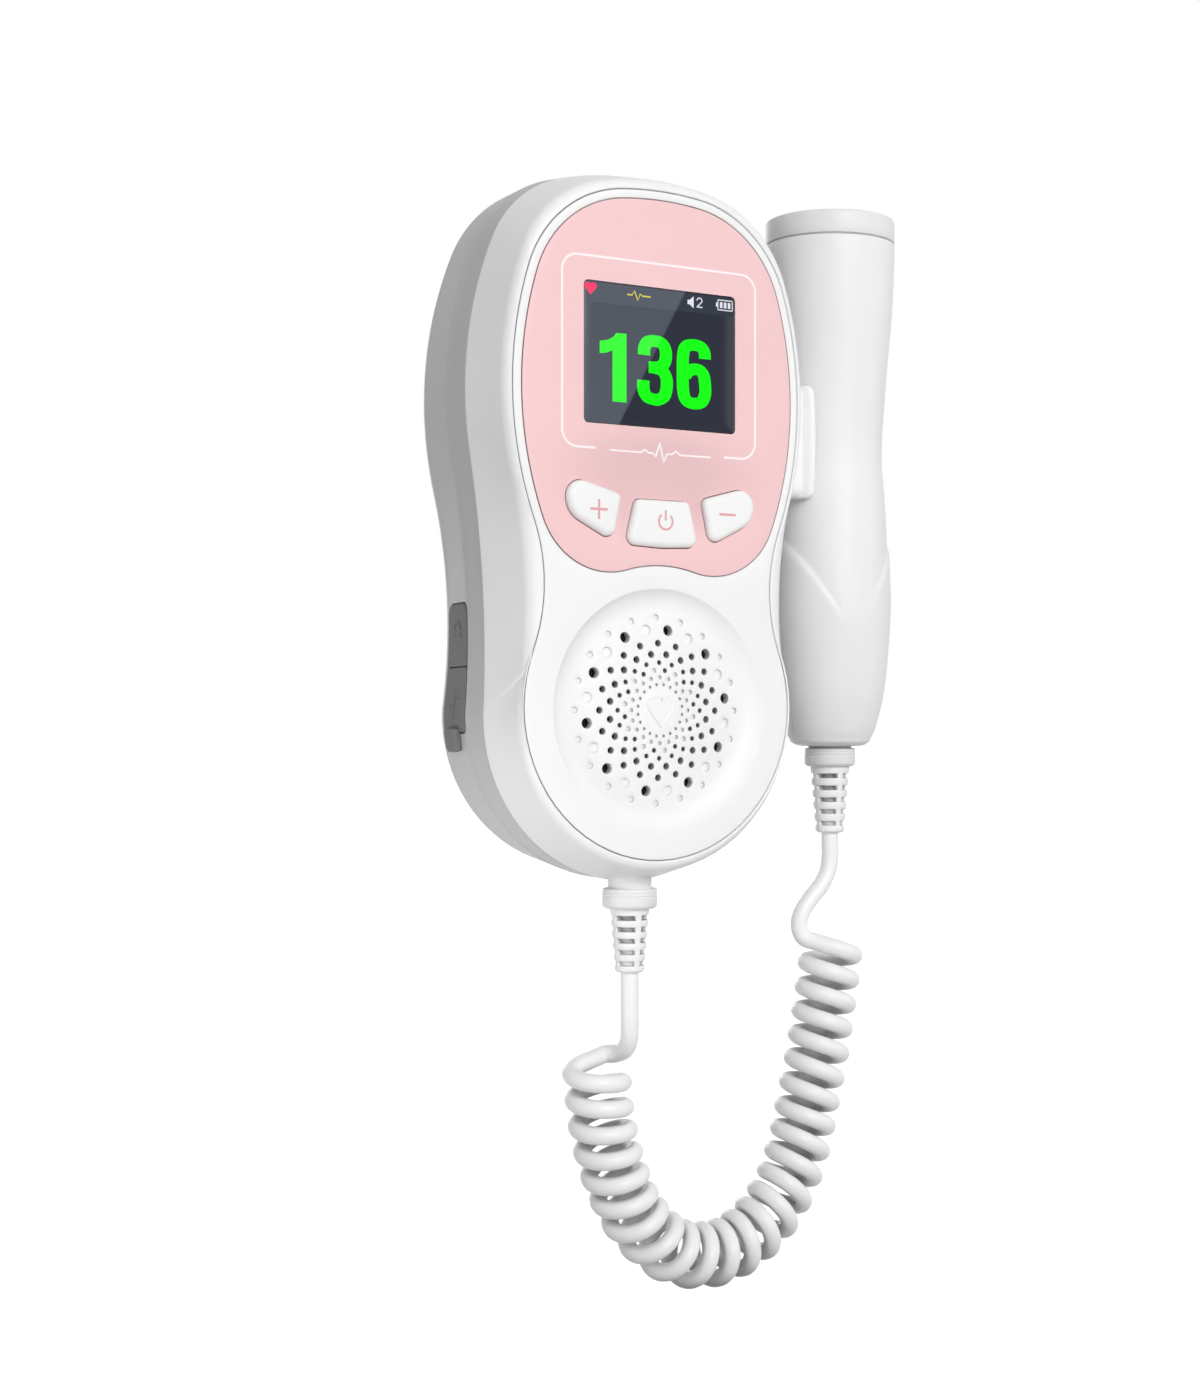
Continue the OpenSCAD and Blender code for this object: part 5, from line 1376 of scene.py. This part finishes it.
def relief_part(x, y, z_top, length, r0, r1):
    """A tapered sleeve with rows of slots on its four diagonals and softly swelling bands."""
    core, end_r, half_slot, edge = 2.2, 1.85, 33, 2.2
    pitch = length / 5.6
    centres = [z_top - length + pitch * (i + 0.8) for i in range(5)]
    angles = set(range(0, 360, 5))
    for a in (45, 135, 225, 315):
        angles |= {a - half_slot - edge, a - half_slot, a + half_slot, a + half_slot + edge}
    angles = sorted(angles)

    heights = [z_top, z_top - 0.25]
    for c in centres:
        heights += [c + s for s in (-0.62, -0.5, -0.38, 0.38, 0.5, 0.62, 0)]
    heights += [c + pitch / 2 + s for c in centres for s in (-0.35, 0, 0.35)]
    bottom = z_top - length
    heights += [bottom + s for s in (0.02, 0.15, 0.4, 0.8)]
    heights = sorted({round(z, 4) for z in heights if bottom < z <= z_top}, reverse=True)

    def radius(z, a):
        base = mix(r1, r0, (z - bottom) / length)
        base -= 0.45 * (1 - smooth((z - bottom) / 0.45))
        near = min(abs(z - c) for c in centres)
        base += 0.09 * smooth((near - 0.45) / 0.6) - 0.03
        in_row = 1 - smooth((near - 0.4) / 0.12)
        off = min(abs((a - b + 180) % 360 - 180) for b in (45, 135, 225, 315))
        in_slot = 1 - smooth((off - half_slot) / edge)
        return mix(base, core, in_row * in_slot)

    rings = [[around(x, y, radius(z, a), a, z) for a in angles] for z in heights]
    end = [around(x, y, end_r, a, bottom) for a in angles]
    return loft(rings + [end])


def add_reliefs():
    main_collar = -CASE_BOTTOM - 1.5
    probe_collar = -PROBE_DROP - 0.45
    specs = (
        ("gland_main", "monitor", "cord_gland_main", 0, GLAND_Y,
         gland_profile(-66.5, main_collar, 4.5, 5.65, 4.1)),
        ("gland_probe", "probe", "cord_gland_probe", PROBE_X, PROBE_Y,
         gland_profile(-42.6, probe_collar, 4.75, 5.6, 4.0)))
    for name, body, node, x, y, profile in specs:
        obj = make_object(name, [loft(lathe_up(profile, x, y))], 34)
        # The glands take the cap's greyer white, a little painted shade for the case's shadow on the
        # main collar.
        dress(obj, body, MATERIALS["cap_white"], [node])
    for name, body, node, spec in (
            ("relief_main", "monitor", "strain_relief_main",
             (0, GLAND_Y, main_collar - 4.1, 13.1, 4.0, 2.95)),
            ("relief_probe", "probe", "strain_relief_probe",
             (PROBE_X, PROBE_Y, probe_collar - 4.0, 14.6, 4.25, 3.05))):
        obj = make_object(name, [relief_part(*spec)], 34)
        dress(obj, body, MATERIALS["relief_white"], [node])


# ---------------------------------------------------------------- probe

CAP_Z = PROBE_TOP - CAP_H
NECK_POINTS = [Vector(p) for p in (
    (GRIP_R - 1.2, -26), (GRIP_R - 0.6, -14), (GRIP_R - 0.8, -1.5),
    (mix(WAIST_R, GRIP_R, 0.32), WAIST_Z - 10), (WAIST_R, WAIST_Z),
    (mix(WAIST_R, PROBE_R, 0.36), WAIST_Z + 16),
    (mix(WAIST_R, PROBE_R, 0.82), WAIST_Z + 31), (PROBE_R, CAP_Z - 3), (PROBE_R, CAP_Z))]
GRIP_POINTS = [Vector(p) for p in (
    (GRIP_R - 3.1, -PROBE_DROP + 5), (GRIP_R - 1.7, -PROBE_DROP + 10.6),
    (GRIP_R - 0.8, -PROBE_DROP + 17.6), (GRIP_R - 0.1, -PROBE_DROP + 27),
    (GRIP_R, -PROBE_DROP + 34), (GRIP_R - 0.35, -1.5), (GRIP_R - 0.6, 4))]
END_R = 6.4
NECK_LINE = curve(NECK_POINTS, 12)
GRIP_LINE = curve([Vector((END_R + 2.5, -PROBE_DROP + 1.6)), Vector((END_R + 3.2, -PROBE_DROP + 2.9))]
                  + GRIP_POINTS, 12)


def radius_at(line, z):
    """Radius of a profile at a height, held at its ends."""
    if z <= line[0].y:
        return line[0].x
    for a, b in zip(line, line[1:]):
        if a.y <= z <= b.y:
            return mix(a.x, b.x, (z - a.y) / max(1e-9, b.y - a.y))
    return line[-1].x


def probe_column(a):
    """Points up one side of the probe's shell at an angle round it, in degrees."""
    across = 12.75 * math.sin(math.radians(a - 270 + CREASE_TURN))
    crease = -CREASE_DROP + CREASE_SLOPE * math.sqrt(across ** 2 + 0.35 ** 2)
    points = []
    # The round lower end
    for t in range(8):
        b = math.radians(90 * t / 7)
        points.append((END_R - 0.6 + 3.1 * math.sin(b), -PROBE_DROP + 1.6 * (1 - math.cos(b))))
    low = -PROBE_DROP + 2.3
    for i in range(26):
        z = mix(low, crease - 0.1, i / 25)
        points.append((radius_at(GRIP_LINE, z), z))

    def upper(z):
        fade = (1 - smooth(abs(across) / 9.5)) * (1 - smooth((z - crease) / 16))
        return mix(radius_at(NECK_LINE, z), radius_at(GRIP_LINE, min(z, 3.9)), fade)

    for share, rise in ((0.05, 0.0), (0.2, 0.4), (0.45, 0.8), (0.72, 1.2), (0.92, 1.6), (1.0, 2.0)):
        z = crease + rise
        points.append((mix(radius_at(GRIP_LINE, z), upper(z), share), z))
    for i in range(1, 17):
        z = mix(crease + 2.0, 8.6, i / 16)
        points.append((upper(z), z))
    for i in range(1, 37):
        z = mix(8.6, CAP_Z - 0.25, i / 36)
        points.append((radius_at(NECK_LINE, z), z))
    points += [(PROBE_R - 0.05, CAP_Z - 0.08), (PROBE_R - 0.25, CAP_Z)]
    return points


def add_probe_half(name, node, start):
    """Half of the shell from start round 180 degrees, with a fine groove along each joint."""
    edge = (0.0, 0.5, 1.1, 1.9)
    angles = [start + e for e in edge] + [start + 3 + 174 * i / 80 for i in range(81)]
    angles += [start + 180 - e for e in reversed(edge)]
    columns = []
    for a in angles:
        off = min(a - start, start + 180 - a)
        dip = 0.2 * (1 - smooth(off / 1.3))
        columns.append([around(PROBE_X, PROBE_Y, r - dip, a, z) for r, z in probe_column(a)])
    obj = make_object(name, [loft(columns, around=False)], 36)
    dress(obj, "probe", MATERIALS["probe_white"], [node])


def add_probe_top():
    r = PROBE_R
    cap = [(r - 0.5, CAP_Z + 0.3), (r - 0.06, CAP_Z + 0.34), (r, CAP_Z + 0.44), (r, CAP_Z + 2.4),
           (r - 0.01, PROBE_TOP - 0.62), (r - 0.07, PROBE_TOP - 0.32), (r - 0.2, PROBE_TOP - 0.12),
           (r - 0.4, PROBE_TOP - 0.02), (r - 0.8, PROBE_TOP), (r - 1.22, PROBE_TOP - 0.02),
           (r - 1.3, PROBE_TOP - 0.12), (r - 1.3, PROBE_TOP - 1.6)]
    dress(make_object("probe_top", [loft(lathe_up(cap, PROBE_X, PROBE_Y, 128))], 36),
          "probe", MATERIALS["cap_white"], ["probe_cap"])
    face_r = r - 1.3 - 0.08
    face = [(face_r, PROBE_TOP - 1.6), (face_r, PROBE_TOP - 0.16), (face_r - 0.12, PROBE_TOP - 0.04),
            (face_r - 0.5, PROBE_TOP - 0.01)]
    face += [(face_r * s, PROBE_TOP) for s in (0.8, 0.5, 0.2, 0.01)]
    lens = loft(lathe_up(face, PROBE_X, PROBE_Y, 128), caps=(True, True))
    dress(make_object("probe_lens", [lens], 36),
          "probe", MATERIALS["probe_face_grey"], ["probe_face"])
    seal = [(r - 1.6, CAP_Z + 0.03), (r - 0.3, CAP_Z + 0.03), (r - 0.16, CAP_Z + 0.08),
            (r - 0.16, CAP_Z + 0.24), (r - 0.3, CAP_Z + 0.28), (r - 1.6, CAP_Z + 0.28)]
    dress(make_object("probe_seal", [loft(lathe_up(seal + seal[:1], PROBE_X, PROBE_Y, 128))], 36),
          "probe", MATERIALS["gasket_grey"], ["probe_gasket"])


# ---------------------------------------------------------------- cradle

SADDLE_R = mix(WAIST_R, PROBE_R, 0.32) + 0.3


def cradle_band():
    """The saddle's band: rounded oblong sections swept round the probe, narrowing at both lips."""
    a0, a1 = 270 - CRADLE_REAR_A, 270 - CRADLE_FRONT_A + CRADLE_LIP
    mid_r, half_t = SADDLE_R + CRADLE_WALL / 2, CRADLE_WALL / 2
    tip = math.degrees(half_t / mid_r)
    reach = [0.0, 0.02, 0.1, 0.24, 0.45, 0.7, 1.0, 1.4, 1.8]
    stations = [(a0 - tip + math.degrees(e / mid_r), e) for e in reach]
    first, last = stations[-1][0], a1 + tip - math.degrees(reach[-1] / mid_r)
    stations += [(mix(first, last, i / 48), 9.0) for i in range(1, 48)]
    stations += [(a1 + tip - math.degrees(e / mid_r), e) for e in reversed(reach)]
    height, z_mid, corner = CRADLE_Z1 - CRADLE_Z0, (CRADLE_Z0 + CRADLE_Z1) / 2, 1.7
    rings = []
    for a, e in stations:
        w = math.sqrt(max(0.0004, half_t ** 2 - max(0.0, half_t - e) ** 2))
        tall = height / 2 - (corner - math.sqrt(max(0.0, corner ** 2 - max(0.0, corner - e) ** 2)))
        corners = ((-w, tall), (-w, -tall), (w, -tall), (w, tall))
        section = rounded(corners, (min(0.55, w * 0.9),) * 4, 0, 5)
        dense = []
        for p, q in zip(section, section[1:] + section[:1]):
            parts = 10 if (q - p).length > 3 else 1
            dense += [mix(p, q, k / parts) for k in range(parts)]
        rows = []
        for p in dense:
            bow = 2.2 * (1 - (p.y / (height / 2)) ** 2) * smooth((a - (a1 - 22)) / 22)
            c = polar(mid_r + p.x, a + bow)
            rows.append((PROBE_X + c.x, PROBE_Y + c.y, z_mid + p.y))
        rings.append(rows)
    return loft(rings, caps=(True, True))


def cradle_foot():
    """The block between the case's side and the band, with round edges above and below."""
    y0, y1, mid_r = FOOT_D0 + 1.3 - CASE_DEPTH, FOOT_D1 - CASE_DEPTH, SADDLE_R + CRADLE_WALL / 2
    section = rounded(((y0, CRADLE_Z1), (y0, CRADLE_Z0), (y1, CRADLE_Z0), (y1, CRADLE_Z1)),
                      (2.4, 2.4, 1.0, 1.0), 0, 6)
    dense = []
    for p, q in zip(section, section[1:] + section[:1]):
        parts = 14 if (q - p).length > 3 else 1
        dense += [mix(p, q, k / parts) for k in range(parts)]

    def at(p, share):
        x_end = PROBE_X - math.sqrt(mid_r ** 2 - min(mid_r * mid_r - 1, (p.x - PROBE_Y) ** 2))
        return (mix(34.6, x_end, share), p.x, p.y)
    return loft([[at(p, s) for p in dense] for s in (0.0, 0.35, 0.7, 1.0)], caps=(True, True))


def add_cradle():
    obj = make_object("cradle", [cradle_band(), cradle_foot()], 40)
    dress(obj, "monitor", MATERIALS["case_white"], ["probe_cradle"])


# ---------------------------------------------------------------- nodes that keep their shape

KEPT_NODES = {
    "lcd_module": "display_dark", "lcd_frame": "bracket_grey", "main_board": "board_green",
    "board_screws": "screw_steel", "keypad_mat": "mat_grey", "tact_switches": "switch_steel",
    "speaker_cloth": "cloth_black", "speaker_frame": "speaker_dark", "speaker_cone": "cone_black",
    "speaker_magnet": "magnet_steel", "battery_tray": "bracket_grey", "battery_pack": "battery_blue",
    "port_board": "board_green", "headphone_jack": "socket_black", "usb_socket": "switch_steel",
    "cradle_screws": "screw_steel", "case_screws": "screw_steel", "crystal_discs": "crystal_tan",
    "backing_block": "backing_dark", "probe_board": "board_green",
}


def dress_nodes():
    for node, material in KEPT_NODES.items():
        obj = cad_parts[node]
        if not obj.material_slots:
            obj.data.materials.append(MATERIALS[material])
        for place in obj.material_slots:
            place.material = MATERIALS[material]


# ---------------------------------------------------------------- floor, world and lights

def see_white(tree, shader, camera_shader):
    """Camera, glossy and transmission rays get the second shader, all others the first."""
    path = tree.nodes.new("ShaderNodeLightPath")
    first = tree.nodes.new("ShaderNodeMath")
    second = tree.nodes.new("ShaderNodeMath")
    first.operation = second.operation = "MAXIMUM"
    tree.links.new(path.outputs["Is Camera Ray"], first.inputs[0])
    tree.links.new(path.outputs["Is Glossy Ray"], first.inputs[1])
    tree.links.new(first.outputs[0], second.inputs[0])
    tree.links.new(path.outputs["Is Transmission Ray"], second.inputs[1])
    chooser = tree.nodes.new("ShaderNodeMixShader")
    tree.links.new(second.outputs[0], chooser.inputs[0])
    tree.links.new(shader, chooser.inputs[1])
    tree.links.new(camera_shader, chooser.inputs[2])
    return chooser.outputs[0]


def add_floor():
    """White to the camera; lighter on its left, so that it lights the object from that side."""
    s = Shader("floor")
    left, right = (s.blend(s.noise(3, 2), rgb(v, v, v), rgb(v + 4, v + 4, v + 4)) for v in (244, 150))
    s.colour(s.blend(along(s, "X", -0.07, 0.01), left, right))
    s.set(Roughness=0.9, Specular_IOR_Level=0.0)
    tree = s.tree
    glow = tree.nodes.new("ShaderNodeEmission")
    glow.inputs["Strength"].default_value = 0.98
    plus = tree.nodes.new("ShaderNodeAddShader")
    tree.links.new(s.out.outputs[0], plus.inputs[0])
    tree.links.new(glow.outputs[0], plus.inputs[1])
    end = next(n for n in tree.nodes if n.type == "OUTPUT_MATERIAL")
    tree.links.new(see_white(tree, s.out.outputs[0], plus.outputs[0]), end.inputs["Surface"])
    z, half = cad_low.z - 0.0004, 14.0
    mesh = bpy.data.meshes.new("floor")
    mesh.from_pydata([(-half, -half, z), (half, -half, z), (half, half, z), (-half, half, z)], [],
                     [(0, 1, 2, 3)])
    floor = bpy.data.objects.new("floor", mesh)
    mesh.materials.append(s.material)
    bpy.context.scene.collection.objects.link(floor)


AMBIENT_LEVEL, AMBIENT_TOP = 0.45, 0.31


def set_world():
    world = bpy.data.worlds.new("studio")
    bpy.context.scene.world = world
    world.use_nodes = True
    tree = world.node_tree
    soft = tree.nodes["Background"]
    soft.inputs["Color"].default_value = (1, 1, 1, 1)
    coords = tree.nodes.new("ShaderNodeTexCoord")
    split = tree.nodes.new("ShaderNodeSeparateXYZ")
    fall = tree.nodes.new("ShaderNodeMapRange")
    tree.links.new(coords.outputs["Generated"], split.inputs[0])
    tree.links.new(split.outputs["Z"], fall.inputs["Value"])
    fall.inputs["To Min"].default_value, fall.inputs["To Max"].default_value = AMBIENT_LEVEL, AMBIENT_TOP
    tree.links.new(fall.outputs["Result"], soft.inputs["Strength"])
    white = tree.nodes.new("ShaderNodeBackground")
    white.inputs["Color"].default_value = (1, 1, 1, 1)
    white.inputs["Strength"].default_value = 1.0
    end = next(n for n in tree.nodes if n.type == "OUTPUT_WORLD")
    tree.links.new(see_white(tree, soft.outputs[0], white.outputs[0]), end.inputs["Surface"])


def add_lamp(name, kind, place, target, power, **values):
    """A lamp at a place, turned to a target, with its own kind's values."""
    data = bpy.data.lights.new(name, kind)
    data.energy = power
    for key, value in values.items():
        setattr(data, key, value)
    lamp = bpy.data.objects.new(name, data)
    lamp.location = place
    lamp.rotation_euler = (Vector(target) - Vector(place)).to_track_quat("-Z", "Y").to_euler()
    bpy.context.scene.collection.objects.link(lamp)


def add_lights():
    middle = (0.01, -0.02, -0.02)
    add_lamp("key", "AREA", (-0.06, -1.4, 0.52), middle, 12.4, shape="DISK", size=0.7)
    add_lamp("right", "AREA", (1.3, -0.9, 0.15), middle, 2.5, shape="DISK", size=0.9)
    add_lamp("back", "AREA", (0.3, 1.6, 0.2), middle, 4.5, shape="DISK", size=0.9)
    add_lamp("low", "SPOT", (-0.17, -0.07, -0.15), (-0.02, -0.03, -0.072), 0.4,
             spot_size=math.radians(36), spot_blend=0.9, shadow_soft_size=0.02)


# ---------------------------------------------------------------- the scene

add_camera()
add_cord()
add_front_shell()
add_rear_shell()
add_face_plate()
add_panel()
add_print()
add_buttons()
add_window()
add_screen_marks()
add_flaps()
add_reliefs()
add_probe_half("probe_front", "probe_shell_front", 180)
add_probe_half("probe_rear", "probe_shell_rear", 0)
add_probe_top()
add_cradle()
dress_nodes()
add_floor()
set_world()
add_lights()

settings = bpy.context.scene.view_settings
settings.view_transform = "Standard"
